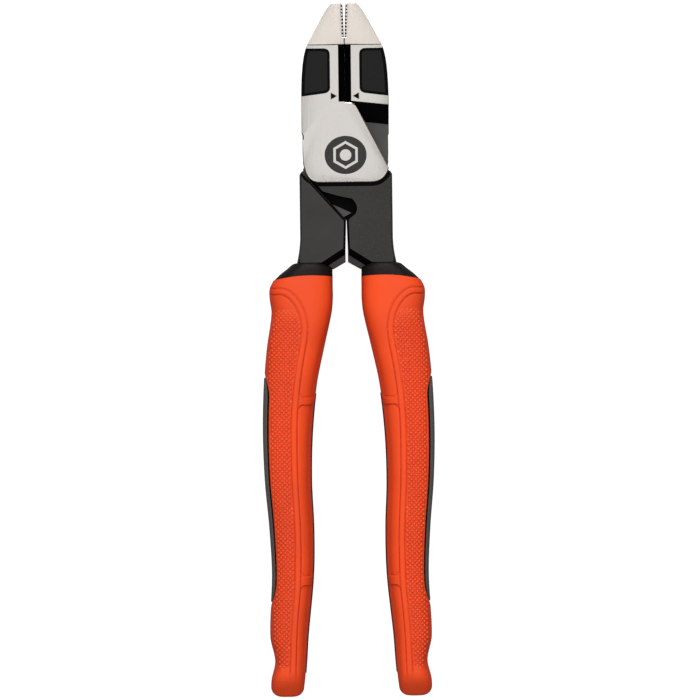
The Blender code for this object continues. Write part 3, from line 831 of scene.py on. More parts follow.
def forge_jaw(head, deep, lap, mark):
    """The polished part: jaw and lap, with the nose, the knife and the pad."""
    # The bevels take a lighter copy of the steel: painted highlight, with a finer grind.
    side_finish, edge_highlight_finish = material("ground_side"), material("edge_steel_painted_highlight")
    half = edged_plate("half", head_outline(head), FACE, head.edge,
                       [material("polished_face"), side_finish, edge_highlight_finish])
    step = JAW_REACH - head.nose_length
    # Painted shadow: a thin dark line etched in just below the nose's step.
    shadow = [(-HEAD_SIDE, step - 0.2 * MM), (HEAD_SIDE, step - 0.2 * MM),
              (HEAD_SIDE, step + 0.2 * MM), (-HEAD_SIDE, step + 0.2 * MM)]
    cut(half, "line", shadow, FACE - ETCH_DEPTH, HALF_HEAD, mark)
    nose = edged_plate("nose", nose_outline(head), HALF_HEAD, NOSE_EDGE,
                       [material("polished_nose"), side_finish, edge_highlight_finish])
    combine(half, nose, "UNION")
    low, _ = gripping_line(head)
    # Painted shade: a dark line down the seam between the jaws along the nose.
    seam = [(-0.14 * MM, step), (MM, step), (MM, low[1]), (-0.14 * MM, low[1])]
    cut(half, "line", seam, FACE - 0.6 * MM, HALF_HEAD + MM, deep)
    # The recess walls, the knife slot's bevels and the groove round the pad take the near-black finish:
    # painted shade, and real black oxide in the slot.
    combine(half, recess_cutter(head, FACE, head.edge, True, [deep, lap]))
    recess, mouth = pad_outline(head), inset(pad_outline(head), -0.3 * MM)
    island = inset(pad_outline(head, 1.6 * MM), PAD_BORDER)
    for side in (-1, 1):
        combine(half, knife_cutter(head, side, [deep]))
        levels = [(side * (FACE - PAD_DEPTH), recess), (side * FACE, mouth),
                  (side * (FACE + 2 * MM), mouth)]
        combine(half, stack("pad", levels, [deep]))
        heights = sorted((side * (FACE - MM), side * (FACE - 0.2 * MM)))
        levels = [(z, island) for z in heights]
        combine(half, stack("island", levels, [material("pad_black")]), "UNION")
    return half


def make_forging(head):
    """One forged half, with its own finish on each surface."""
    oxide, deep, lap, mark = (material(name) for name in (
        "forged_oxide", "black_and_painted_shade", "lap_oxide", "etched_mark"))
    half = forge_jaw(head, deep, lap, mark)
    combine(half, forge_tang(head, oxide, deep, lap), "UNION")
    # The pocket beside the tang takes the near-black finish: painted shade in its hollow.
    pocket = pocket_outline()
    mouth = inset(pocket, -0.25 * MM)
    combine(half, stack("pocket", [(1.5 * MM, pocket), (head.tang_thickness / 2, mouth),
                                   (HALF_HEAD, mouth)], [deep]))
    ledge = [(-4.7 * MM, -17.0 * MM), (-0.9 * MM, -21.4 * MM), (1.8 * MM, -20.0 * MM)]
    combine(half, stack("ledge", [(0.5 * MM, ledge), (3.2 * MM, ledge)], [lap]), "UNION")
    front = (1,)
    cut(half, "bore", ring_points(BORE_RADIUS, ROUND_SIDES), 0.0, HALF_HEAD, deep, front)
    disc = ring_points(MARK_RADIUS, ROUND_SIDES, squash=MARK_SQUASH)
    cut(half, "mark", disc, FACE - MARK_DEPTH, HALF_HEAD, mark, front)
    arrow = [(-4.9 * MM, 19.3 * MM), (-2.75 * MM, 20.5 * MM), (-4.9 * MM, 21.7 * MM)]
    cut(half, "arrow", arrow, FACE - ETCH_DEPTH, HALF_HEAD, deep)
    # The notch takes the near-black finish: painted shade in its hollow.
    far = -2 * HEAD_SIDE
    notch = [(far, 4.9 * MM), (-LAP_SIDE - 0.1 * MM, 4.9 * MM), (-LAP_SIDE + 0.5 * MM, 5.6 * MM),
             (-LAP_SIDE + 0.5 * MM, 7.0 * MM), (-LAP_SIDE - 0.2 * MM, 7.6 * MM), (far, 7.6 * MM)]
    cut(half, "notch", notch, MM, HALF_HEAD, deep, front)
    neck = [[(TANG_NECK_CENTRE + sx * 5 * MM, -COLLAR_TOP - 0.4 * MM, sz * 5 * MM)
             for sx, sz in CORNERS]]
    combine(half, loft("neck", neck + tang_end_rings(), [oxide]), "UNION")
    return half


def tang_centre(distance):
    """Middle of the buried tang: straight below the shoulders, then along the grip."""
    inner, outer, _ = grip_edges(distance)
    share = smoothstep(COLLAR_TOP + 2 * MM, SLEEVE_TOP + 18 * MM, distance)
    return TANG_NECK_CENTRE + ((inner + outer) / 2 - TANG_NECK_CENTRE) * share


def tang_end_rings():
    """Buried tang inside the grip, thinner towards its end."""
    rings = []
    start = COLLAR_TOP + 2 * MM
    for i in range(13):
        share = i / 12
        distance = start + (HANDLE_REACH - TANG_SHORT - COLLAR_TOP - 2 * MM) * share
        centre, wide, thick = tang_centre(distance), (5.0 - 1.4 * share) * MM, (4.9 - share) * MM
        rings.append([(centre + sx * wide, -distance, sz * thick) for sx, sz in CORNERS])
    return rings


# --- Grip surfaces

def end_drop(distance):
    """How far front and back have fallen towards each other near the grip's end."""
    run = np.clip(np.asarray(distance, float) - (HANDLE_REACH - END_SLOPE), 0.0, END_SLOPE)
    bend_in = np.minimum(run, END_BEND)
    last = np.clip(run - (END_SLOPE - MM), 0.0, 0.98 * MM)
    slope = 0.88 * (bend_in ** 2 / (2 * END_BEND) + run - bend_in)
    return slope + MM - np.sqrt(MM ** 2 - last ** 2)


def grip_edges(distance):
    """Inner edge, outer edge and half thickness of the grip, so far from the pivot."""
    share = (np.asarray(distance, float) - SLEEVE_TOP) / (HANDLE_REACH - SLEEVE_TOP)
    inner, outer, depth = (smooth_curve(GRIP_STATIONS, share, c) for c in (1, 2, 3))
    return inner, outer, np.minimum(depth, 1.0) * GRIP_HALF - end_drop(distance)


def oval(turns, inner, outer, depth, power=SECTION_POWER):
    """Points of a rounded section at the given turns: X and Z."""
    c, s = np.cos(turns), np.sin(turns)
    x = np.sign(c) * np.abs(c) ** (2 / power)
    z = np.sign(s) * np.abs(s) ** (2 / power)
    return (inner + outer) / 2 + (outer - inner) / 2 * x, depth * z


def sleeve_top(x):
    """Distance of the sleeve's upper edge, lowest at its outer corner."""
    outward = np.clip((x - 13 * MM) / (12.3 * MM), 0.0, 1.2)
    inward = np.clip((13 * MM - x) / (8 * MM), 0.0, 1.2)
    return SLEEVE_TOP - 0.6 * MM + 1.6 * MM * outward ** 2 + 0.4 * MM * inward ** 2


def inlay_half_height(distance, span, full, taper=9 * MM):
    """Half height of an inlay: full along its middle, rounded off at both ends."""
    from_end = np.minimum(distance - span[0], span[1] - distance)
    t = np.clip(1 - from_end / taper, 0.0, 1.0)
    return np.maximum(full * np.sqrt(np.clip(1 - t * t, 0.0, 1.0)), 0.7 * MM)


def section_turns(distance):
    """Turns round one section: window, front, strip, back, with lines on the inlays' borders."""
    inner, outer, depth = grip_edges(distance)
    insert = inlay_half_height(distance, INSERT_SPAN, depth - INSERT_LIP)
    strip = inlay_half_height(distance, STRIP_SPAN, STRIP_HALF_HEIGHT)
    at_insert = math.asin(min(insert / depth, 0.99) ** (SECTION_POWER / 2))
    at_strip = math.asin(min(strip / depth, 0.99) ** (SECTION_POWER / 2))
    dense = np.linspace(0.0, 2 * math.pi, 1441) - at_insert
    x, z = oval(dense, inner, outer, depth)
    run = np.concatenate([[0.0], np.cumsum(np.hypot(np.diff(x), np.diff(z)))])
    marks = np.array([-at_insert, at_insert, math.pi - at_strip, math.pi + at_strip,
                      2 * math.pi - at_insert])
    lengths = np.interp(marks, dense, run)
    cells = (OUTER_CELLS, FRONT_CELLS, INNER_CELLS, FRONT_CELLS)
    wall = 0.1 * MM
    targets = []
    for i, count in enumerate(cells):
        low, high = lengths[i], lengths[i + 1]
        if i in (0, 2):
            ends = np.linspace(low + wall, high - wall, count - 1)
            targets.append(np.concatenate([[low], ends]))
        else:
            targets.append(np.linspace(low, high, count, endpoint=False))
    return np.interp(np.concatenate(targets), run, dense)


def rib_offset(x, distance):
    """Signed distance from the rib's centre line: positive on its outer side."""
    steps = np.arange(len(RIB_PATH))
    keyed = np.column_stack([steps, RIB_PATH])
    at = np.linspace(0, len(RIB_PATH) - 1, 5 * len(RIB_PATH))
    line = np.column_stack([smooth_curve(keyed, at, 1), smooth_curve(keyed, at, 2)])
    best = np.full(np.shape(x), 1.0)
    signed = np.zeros(np.shape(x))
    for start, end in zip(line, line[1:]):
        run = end - start
        to_d, to_x = distance - start[0], x - start[1]
        share = np.clip((to_d * run[0] + to_x * run[1]) / (run @ run), 0.0, 1.0)
        away = np.hypot(to_d - share * run[0], to_x - share * run[1])
        side = np.where(to_x * run[0] - to_d * run[1] >= 0, 1.0, -1.0)
        nearer = away < best
        best = np.where(nearer, away, best)
        signed = np.where(nearer, away * side, signed)
    return signed


def rounded_box(a, b, radius):
    """Distance inside the corner formed by two edges, with the corner rounded."""
    near_a, near_b = np.minimum(a - radius, 0.0), np.minimum(b - radius, 0.0)
    return np.where((near_a < 0) & (near_b < 0), radius - np.hypot(near_a, near_b), np.minimum(a, b))


def grip_relief(grip, x, distance, facing):
    """Height of the moulded relief, where the diamonds stand, and where the creases run; the last two
    also set painted shade in the sleeve's colour.
    """
    s = rib_offset(x, distance)
    fade = smoothstep(0.10, 0.42, np.abs(facing))
    ends = 1 - smoothstep(HANDLE_REACH - 11 * MM, HANDLE_REACH - 4.5 * MM, distance)
    outside, inside = s - grip.rib_width / 2, -s - grip.rib_width / 2
    crease = sum(np.exp(-((edge - 0.25 * MM) / (0.24 * MM)) ** 2) for edge in (outside, inside))
    relief = -0.5 * grip.panel_depth * smoothstep(0.1 * MM, 0.5 * MM, outside)
    for low, high, soft in ((58 * MM, 84.2 * MM, 10 * MM), (86.5 * MM, 146.2 * MM, 0.1 * MM),
                            (149.2 * MM, 198 * MM, 0.1 * MM)):
        along = np.minimum(distance - low, high - distance)
        depth_in = rounded_box(inside - 0.1 * MM, along, 2.2 * MM)
        start = smoothstep(low, low + soft, distance)
        relief -= grip.panel_depth * smoothstep(0.0, 0.4 * MM, depth_in) * start
        rim = np.exp(-((depth_in - 0.15 * MM) / (0.22 * MM)) ** 2) * start
        crease = np.maximum(crease, 0.9 * rim)
    crease = np.minimum(crease, 1.0) * ends * fade
    panel = smoothstep(0.75 * MM, 0.9 * MM, outside) * smoothstep(50 * MM, 60 * MM, distance)
    panel *= 1 - smoothstep(HANDLE_REACH - 12 * MM, HANDLE_REACH - 9 * MM, distance)
    panel *= smoothstep(0.40, 0.55, np.abs(facing))
    return relief * ends * fade - grip.groove_depth * crease, panel, crease


def sleeve_distances():
    return np.arange(SLEEVE_TOP, HANDLE_REACH - 3.3 * MM, ROW_STEP)


def sleeve_grid(distances, depth_in=0.0):
    """Points of the grip's surface, row by row: X, distance, Z."""
    rows = []
    for distance in distances:
        turns = section_turns(distance)
        inner, outer, depth = grip_edges(distance)
        x, _ = oval(turns, inner, outer, depth)
        near_top = np.clip(1 - (distance - SLEEVE_TOP) / (8 * MM), 0.0, 1.0)
        at = distance + (sleeve_top(x) - SLEEVE_TOP) * near_top
        inner, outer, depth = grip_edges(at)
        x, z = oval(turns, inner + depth_in, outer - depth_in, depth - depth_in)
        rows.append(np.stack([x, at, z], axis=-1))
    return np.array(rows)


def grid_normals(grid):
    """Outward normals of a grid of points that closes round its rows."""
    across = np.roll(grid, -1, axis=1) - np.roll(grid, 1, axis=1)
    along = np.gradient(grid, axis=0)
    normals = np.cross(along, across)
    normals /= np.maximum(np.linalg.norm(normals, axis=-1, keepdims=True), 1e-12)
    centre = grid.mean(axis=1, keepdims=True)
    outward = np.sign(np.sum(normals * (grid - centre), axis=-1, keepdims=True))
    return normals * np.where(outward == 0, 1, outward)


def in_window(columns, distances):
    """Masks of the grid inside the insert's and the strip's windows."""
    masks = []
    for first, count, span in ((0, OUTER_CELLS, INSERT_SPAN),
                               (OUTER_CELLS + FRONT_CELLS, INNER_CELLS, STRIP_SPAN)):
        column_mask = np.zeros(columns, bool)
        column_mask[first + 1:first + count] = True
        row_mask = (distances > span[0]) & (distances < span[1])
        masks.append(row_mask[:, None] & column_mask[None, :])
    return masks


def widened(mask, rows, columns):
    """The mask grown by so many rows and columns on every side."""
    grown = mask.copy()
    for axis, count in ((0, rows), (1, columns)):
        source = grown.copy()
        for shift in range(1, count + 1):
            grown |= np.roll(source, shift, axis=axis) | np.roll(source, -shift, axis=axis)
    return grown


def end_cap(ring, distance, centre_x, radius):
    """Rounded end: rings that shrink from the last section of the side to a point."""
    rings = []
    wide = np.abs(ring[:, 0] - centre_x).max()
    tall = grip_edges(distance)[2]
    for step in range(1, 13):
        angle = math.pi / 2 * step / 12
        at = distance + radius * math.sin(angle)
        scale = np.array([1 - radius * (1 - math.cos(angle)) / wide, 1.0, grip_edges(at)[2] / tall])
        moved = (ring - [centre_x, 0, 0]) * scale + [centre_x, 0, 0]
        moved[:, 1] = at
        rings.append(moved)
    last = rings[-1]
    for share in (0.7, 0.35):
        moved = (last - [centre_x, 0, 0]) * [share, 1.0, share] + [centre_x, 0, 0]
        moved[:, 1] = last[0, 1]
        rings.append(moved)
    return rings


def close_with_point(points, faces, first, columns, place):
    """Fan from the ring that starts at first to one new point."""
    points.append(place)
    tip = len(points) - 1
    faces.extend((first + c, first + (c + 1) % columns, tip) for c in range(columns))


def to_world(points):
    """Grid points hold X, distance and Z; distance runs down the handle."""
    return [(p[0], -p[1], p[2]) for p in points]


def make_sleeve(grip):
    """Moulded sleeve: relief outside, plain bore inside, with a pocket for each inlay."""
    distances = sleeve_distances()
    grid = sleeve_grid(distances)
    normals = grid_normals(grid)
    relief, panel, crease = grip_relief(grip, grid[..., 0], grid[..., 1], normals[..., 2])
    masks = in_window(grid.shape[1], distances)
    for mask, span in zip(masks, (INSERT_SPAN, STRIP_SPAN)):
        from_end = np.minimum(distances - span[0], span[1] - distances)[:, None]
        deep = POCKET_DEPTH * smoothstep(0.0, 0.8 * MM, from_end)
        relief = np.where(mask, -deep, relief)
        panel = np.where(widened(mask, 3, 4), 0.0, panel)
        crease = np.where(mask, 0.0, crease)
    grid = grid + normals * relief[..., None]
    rows, columns = grid.shape[:2]
    rim = []
    for drop, back in ((0.55 * MM, 1.2 * MM), (0.0, 0.5 * MM), (0.12 * MM, 0.15 * MM)):
        ring = grid[0] - normals[0] * back
        ring[:, 1] = grid[0][:, 1] + drop
        rim.append(ring)
    rim[1][:, 1] -= 0.02 * MM
    centre_x = sum(grip_edges(distances[-1])[:2]) / 2
    cap = end_cap(grid[-1], distances[-1], centre_x, HANDLE_REACH - distances[-1])
    bore = []
    bore_length = HANDLE_REACH - SLEEVE_TOP - SKIN - 3 * MM
    for i in range(24):
        distance = HANDLE_REACH - SKIN - 1.2 * MM - bore_length * i / 23
        bore.append(sleeve_grid([distance], SKIN - 0.2 * MM)[0])
    tail = bore + rim
    everything = [list(p) for ring in tail + list(grid) + cap for p in ring]
    total_rows = len(tail) + rows + len(cap)
    faces = grid_faces(total_rows, columns)
    close_with_point(everything, faces, 0, columns, [centre_x, bore[0][0, 1], 0.0])
    close_with_point(everything, faces, (total_rows - 1) * columns, columns,
                     [centre_x, HANDLE_REACH, 0.0])
    # The panel and crease values darken the orange as painted shade.
    values = np.zeros((2, len(everything)))
    first = len(tail) * columns
    values[:, first:first + rows * columns] = panel.ravel(), crease.ravel()
    dark = np.zeros((total_rows, columns), bool)
    for mask in masks:
        dark[len(tail):len(tail) + rows] |= mask | np.roll(mask, -1, axis=1)
    indices = dark[:-1].ravel().astype(int)
    indices = np.concatenate([indices, np.zeros(len(faces) - len(indices), int)])
    return mesh_from("sleeve", to_world(everything), faces,
                     [material("orange_skin"), material("hard_black")], indices,
                     {"panel": values[0], "crease": values[1]})


def make_inlay(first, count, span, gap, crown, skin):
    """Soft inlay in its pocket: a crowned strip with its sides and its back closed."""
    ends = gap + 0.3 * MM
    distances = np.linspace(span[0] + ends, span[1] - ends, INLAY_ROWS)
    grid = sleeve_grid(distances)
    normals = grid_normals(grid)
    start, stop = first + 1, first + count
    strip, out = grid[:, start:stop], normals[:, start:stop]
    run = np.concatenate([np.zeros((len(strip), 1)),
                          np.cumsum(np.linalg.norm(np.diff(strip, axis=1), axis=-1), axis=1)], axis=1)
    width = run[:, -1:]
    share = np.linspace(0.0, 1.0, INLAY_LANES)
    side_gap = np.minimum(gap, 0.35 * width)
    target = side_gap + (width - 2 * side_gap) * share[None, :]

    def resample(values):
        result = np.empty((INLAY_ROWS, INLAY_LANES, 3))
        for r in range(INLAY_ROWS):
            for k in range(3):
                result[r, :, k] = np.interp(target[r], run[r], values[r, :, k])
        return result

    place, out = resample(strip), resample(out)
    out /= np.linalg.norm(out, axis=-1, keepdims=True)
    edge = np.minimum(share, 1 - share)[None, :] * (width - 2 * side_gap)
    from_end = np.minimum(distances - distances[0], distances[-1] - distances)[:, None]
    near = np.minimum(edge, from_end)
    inside = 1 - np.clip(near / (0.5 * MM), 0, 1)
    rounding = -0.45 * MM * (1 - np.sqrt(np.clip(1 - inside ** 2, 0, 1)))
    top = place + out * (rounding + crown * np.sin(math.pi * share)[None, :])[..., None]
    back = place - out * (POCKET_DEPTH - 0.1 * MM)
    rows, lanes = INLAY_ROWS, INLAY_LANES
    faces = grid_faces(rows, lanes, 0, False)
    faces += [tuple(reversed(f)) for f in grid_faces(rows, lanes, rows * lanes, False)]
    border = [r * lanes for r in range(rows)] + [(rows - 1) * lanes + c for c in range(1, lanes)]
    border += [r * lanes + lanes - 1 for r in range(rows - 2, -1, -1)] + list(range(lanes - 2, 0, -1))
    under = rows * lanes
    indices = [0] * len(faces) + [1] * len(border)
    for i, a in enumerate(border):
        b = border[(i + 1) % len(border)]
        faces.append((a, b, b + under, a + under))
    points = np.concatenate([top.reshape(-1, 3), back.reshape(-1, 3)])
    return mesh_from("inlay", to_world(points), faces, [skin, material("hard_black")], indices)


def make_core():
    """Collar and core: flared guard, plain core inside the sleeve, and the socket for the tang."""
    columns = ROUND_SIDES
    turns = np.linspace(0.0, 2 * math.pi, columns, endpoint=False)
    outline = np.array((
        (0.00, 8.6 * MM, 17.4 * MM, 6.9 * MM),
        (0.03, 8.0 * MM, 18.3 * MM, 7.4 * MM),
        (0.12, 7.1 * MM, 19.2 * MM, 7.9 * MM),
        (0.42, 5.2 * MM, 21.0 * MM, 8.45 * MM),
        (0.70, 5.05 * MM, 23.2 * MM, 8.75 * MM),
        (1.00, 5.0 * MM, 25.4 * MM, 8.95 * MM),
    ))
    rows = []
    socket = oval(turns, -5.3 * MM, 5.3 * MM, 5.3 * MM, 9.0)
    for distance in np.linspace(HANDLE_REACH - 36 * MM, COLLAR_TOP + 0.4 * MM, 14):
        rows.append(np.stack([socket[0] + tang_centre(distance), np.full(columns, distance),
                              socket[1]], axis=-1))
    for share in np.linspace(0.0, 1.0, 22) ** 1.3:
        inner, outer, depth = (smooth_curve(outline, share, c) for c in (1, 2, 3))
        x, z = oval(turns, inner, outer, depth)
        bottom = sleeve_top(x) - 0.1 * MM
        rows.append(np.stack([x, COLLAR_TOP + (bottom - COLLAR_TOP) * share, z], axis=-1))
    for distance in np.linspace(SLEEVE_TOP + 0.6 * MM, HANDLE_REACH - SKIN - 4 * MM, 30):
        inner, outer, depth = grip_edges(distance)
        x, z = oval(turns, inner + SKIN, outer - SKIN, depth - SKIN)
        rows.append(np.stack([x, np.full(columns, distance), z], axis=-1))
    points = [list(p) for ring in rows for p in ring]
    faces = grid_faces(len(rows), columns)
    for first, ring in ((0, rows[0]), ((len(rows) - 1) * columns, rows[-1])):
        close_with_point(points, faces, first, columns, list(ring.mean(axis=0)))
    return mesh_from("core", to_world(points), faces, [material("hard_black")])


# --- Geometry Nodes: diamonds on the sleeves and teeth on the jaws

def run_tree(name, tree, values):
    """Runs a tree on an empty mesh and returns its result as a plain mesh."""
    host = add_object(name, bpy.data.meshes.new(name))
    modifier = host.modifiers.new(name, "NODES")
    modifier.node_group = tree
    sockets = {s.name: s.identifier for s in tree.interface.items_tree if s.in_out == "INPUT"}
    for label, value in values.items():
        modifier[sockets[label]] = value
    bpy.context.view_layer.update()
    evaluated = host.evaluated_get(bpy.context.evaluated_depsgraph_get())
    mesh = bpy.data.meshes.new_from_object(evaluated)
    host.modifiers.clear()
    host.data = mesh
    return host


def read_value(tree, name, data_type="FLOAT"):
    """A named value of the points."""
    return node(tree, "GeometryNodeInputNamedAttribute", {"Name": name},
                data_type=data_type).outputs["Attribute"]


def store_value(tree, points, name, value, data_type="FLOAT"):
    """The points with a named value stored on them."""
    return node(tree, "GeometryNodeStoreNamedAttribute", {
        "Geometry": points, "Name": name, "Value": value}, data_type=data_type).outputs[0]


def close_tree(tree, instances, given, out):
    """Realizes the instances and gives them their material."""
    realize = node(tree, "GeometryNodeRealizeInstances", {0: instances})
    dress = node(tree, "GeometryNodeSetMaterial", {
        "Geometry": realize.outputs[0], "Material": given["Material"]})
    feed(tree, out.inputs["Geometry"], dress.outputs[0])


def build_diamonds():
    """Low four-sided studs on a 45 degree lattice, laid on the sleeve where its panel is set."""
    tree, entry, out = new_tree("diamonds", "GeometryNodeTree", [
        ("Sleeve", OBJECT, None), ("Pitch", FLOAT, 0.0017), ("Height", FLOAT, 0.0002),
        ("Length", FLOAT, 0.14), ("Centre X", FLOAT, 0.02), ("Centre Y", FLOAT, -0.1),
        ("Side", FLOAT, 1.0), ("Material", MATERIAL, None)], [("Geometry", GEOMETRY)])
    given = entry.outputs

    def times(value, factor):
        return math_node(tree, "MULTIPLY", value, factor)

    length, pitch, height = given["Length"], given["Pitch"], given["Height"]
    count = math_node(tree, "DIVIDE", length, times(pitch, math.sqrt(0.5)))
    lattice = node(tree, "GeometryNodeMeshGrid", {
        "Size X": length, "Size Y": length, "Vertices X": count, "Vertices Y": count})
    centre = vector(tree, given["Centre X"], given["Centre Y"], times(given["Side"], STUD_START))
    turned = node(tree, "GeometryNodeTransform", {
        "Geometry": lattice.outputs[0], "Rotation": (0.0, 0.0, math.radians(45)),
        "Translation": centre})

    sleeve = node(tree, "GeometryNodeObjectInfo", {"Object": given["Sleeve"]},
                  transform_space="ORIGINAL")
    hit = node(tree, "GeometryNodeRaycast", {
        "Target Geometry": sleeve.outputs["Geometry"], "Attribute": read_value(tree, "panel"),
        "Ray Direction": vector(tree, 0.0, 0.0, times(given["Side"], -1.0)),
        "Ray Length": 2 * STUD_START}, data_type="FLOAT", mapping="INTERPOLATED").outputs
    points = store_value(tree, turned.outputs[0], "size", hit["Attribute"])
    points = store_value(tree, points, "up", hit["Hit Normal"], "FLOAT_VECTOR")
    seated = node(tree, "GeometryNodeSetPosition", {
        "Geometry": points, "Position": hit["Hit Position"], "Selection": hit["Is Hit"]})
    size = read_value(tree, "size")
    bare = node(tree, "FunctionNodeCompare", {"A": size, "B": SMALLEST_STUD},
                data_type="FLOAT", operation="LESS_THAN")
    kept = node(tree, "GeometryNodeDeleteGeometry", {
        "Geometry": seated.outputs[0], "Selection": bare.outputs["Result"]}, domain="POINT")

    stud = node(tree, "GeometryNodeMeshCone", {
        "Vertices": 4, "Radius Top": times(pitch, STUD_TOP),
        "Radius Bottom": times(pitch, STUD_FOOT), "Depth": times(height, 1 + STUD_SINK)},
        fill_type="NGON")
    sunk = node(tree, "GeometryNodeTransform", {
        "Geometry": stud.outputs["Mesh"],
        "Translation": vector(tree, 0.0, 0.0, times(height, -STUD_SINK))})
    upright = node(tree, "FunctionNodeAlignRotationToVector", {
        "Vector": read_value(tree, "up", "FLOAT_VECTOR")}, axis="Z")
    spread = node(tree, "GeometryNodeInstanceOnPoints", {
        "Points": kept.outputs[0], "Instance": sunk.outputs[0],
        "Rotation": upright.outputs[0], "Scale": vector(tree, 1.0, 1.0, size)})
    close_tree(tree, spread.outputs[0], given, out)
    return tree


def build_teeth():
    """A row of ridges across a gripping face, from its lower end to the tip."""
    tree, entry, out = new_tree("teeth", "GeometryNodeTree", [
        ("Count", INTEGER, 10), ("Start", VECTOR, None), ("Step", VECTOR, None),
        ("Depth", FLOAT, 0.0005), ("Half width", FLOAT, 0.0006), ("Across", FLOAT, 0.0155),
        ("Lean", FLOAT, 0.0), ("Material", MATERIAL, None)], [("Geometry", GEOMETRY)])
    given = entry.outputs
    line = node(tree, "GeometryNodeMeshLine", {
        "Count": given["Count"], "Start Location": given["Start"], "Offset": given["Step"]})
    ridge = node(tree, "GeometryNodeMeshCylinder", {
        "Vertices": 4, "Radius": 1.0, "Depth": given["Across"]})
    spread = node(tree, "GeometryNodeInstanceOnPoints", {
        "Points": line.outputs[0], "Instance": ridge.outputs["Mesh"],
        "Rotation": vector(tree, 0.0, 0.0, given["Lean"]),
        "Scale": vector(tree, given["Depth"], given["Half width"], 1.0)})
    close_tree(tree, spread.outputs[0], given, out)
    return tree


# --- Operators

class PliersMaterials(bpy.types.Operator):
    """Make the shader groups and every finish"""
    bl_idname = "pliers.materials"
    bl_label = "Finishes"

    def execute(self, context):
        finish = context.scene.pliers_finish
        build_edge_wear()
        build_grinding()
        build_grain()
        steel = tuple(finish.steel)
        ground_steel("polished_nose", steel, 0.26, 0.34, 0.000003, 0.06)
        cooler = (steel[0] * 0.885, steel[1] * 0.92, steel[2] * 0.955)
        ground_steel("polished_face", cooler, 0.24, 0.38, 0.000006, 0.14)
        # Lighter, smoother copy of the steel for the bevels: painted highlight along with the finer
        # grind.
        ground_steel("edge_steel_painted_highlight", shade(steel, 1.22), 0.18, 0.24, 0.000002, 0.04)
        ground_steel("ground_side", shade(steel, 0.8), 0.34, 0.46, 0.00001, 0.14)
        oxide = tuple(finish.oxide)
        oxide_steel("forged_oxide", oxide, 2300.0, 0.00009, 0.6, 0.46)
        # Darker copy of the oxide for the tang's drafted sides: painted shade.
        oxide_steel("tang_side_painted_shade", shade(oxide, 0.3), 2300.0, 0.00003, 0.4, 0.5)
        oxide_steel("smooth_oxide", oxide, 2800.0, 0.000008, 0.10, 0.40)
        # Near-black copy of the oxide: real black in the knife slot and the arrows, painted shade in
        # recesses, gaps, grooves and facets turned from the light.
        oxide_steel("black_and_painted_shade", shade(oxide, 0.06), 2600.0, 0.00001, 0.1, 0.6, 1.0, 0.0)
        oxide_steel("pad_black", shade(oxide, 0.27), 1700.0, 0.00005, 0.35, 0.5)
        oxide_steel("lap_oxide", shade(oxide, 2.0), 2800.0, 0.000008, 0.10, 0.42, 1.5)
        oxide_steel("etched_mark", shade(oxide, 1.2), 3600.0, 0.00001, 0.25, 0.55, 1.0)
        orange, collar = tuple(finish.orange), tuple(finish.collar)
        sleeve_skin("orange_skin", orange)
        # Lighter, yellower copy of the orange for the studs: painted highlight.
        sleeve_skin("orange_diamonds_highlit", (orange[0], orange[1] * 1.35, orange[2] * 2.2))
        moulded("hard_black", collar, 3000.0, 0.000012, 0.45, 2.5, 0.12)
        moulded("soft_grey", tuple(finish.insert), 3800.0, 0.00003, 0.66, 1.3, 0.2)
        moulded("soft_black", shade(collar, 1.2), 3800.0, 0.00003, 0.6, 2.0, 0.12)
        return {"FINISHED"}


class PliersForgings(bpy.types.Operator):
    """Forge both halves: jaw, lap and tang"""
    bl_idname = "pliers.forgings"
    bl_label = "Forged halves"

    def execute(self, context):
        half = make_forging(context.scene.pliers_head)
        own = list(half.data.materials)
        twin = [material("smooth_oxide") if m == material("forged_oxide") else m for m in own]
        finish_pair(half, ("left_jaw_forging", "right_jaw_forging"),
                    ("left_jaw_half", "right_jaw_half"), 22.0, materials=twin)
        return {"FINISHED"}


class PliersTeeth(bpy.types.Operator):
    """Cut the teeth of both gripping faces"""
    bl_idname = "pliers.teeth"
    bl_label = "Teeth"

    def execute(self, context):
        head = context.scene.pliers_head
        low, high = (Vector((*point, 0.0)) for point in gripping_line(head))
        step = (high - low) / head.teeth
        tree = build_teeth()
        bands = []
        width = (2 * HALF_HEAD - 0.2 * MM) / len(BAND_PHASES)
        for i, phase in enumerate(BAND_PHASES):
            level = (i + 0.5 - len(BAND_PHASES) / 2) * width
            # The inner bands take the near-black finish: painted shade between the outer rows of teeth.
            outer = i in (0, len(BAND_PHASES) - 1)
            bands.append(run_tree("teeth", tree, {
                "Count": head.teeth - int(phase),
                "Start": low + step * phase + Vector((0, 0, level)), "Step": step,
                "Depth": head.tooth_depth, "Half width": step.length / 2 * TOOTH_WIDTH,
                "Across": width, "Lean": math.atan2(-step.x, step.y),
                "Material": material("polished_nose" if outer else "black_and_painted_shade")}))
        row = join(bands)
        finish_pair(row, ("left_jaw_teeth", "right_jaw_teeth"), (None, None))
        return {"FINISHED"}


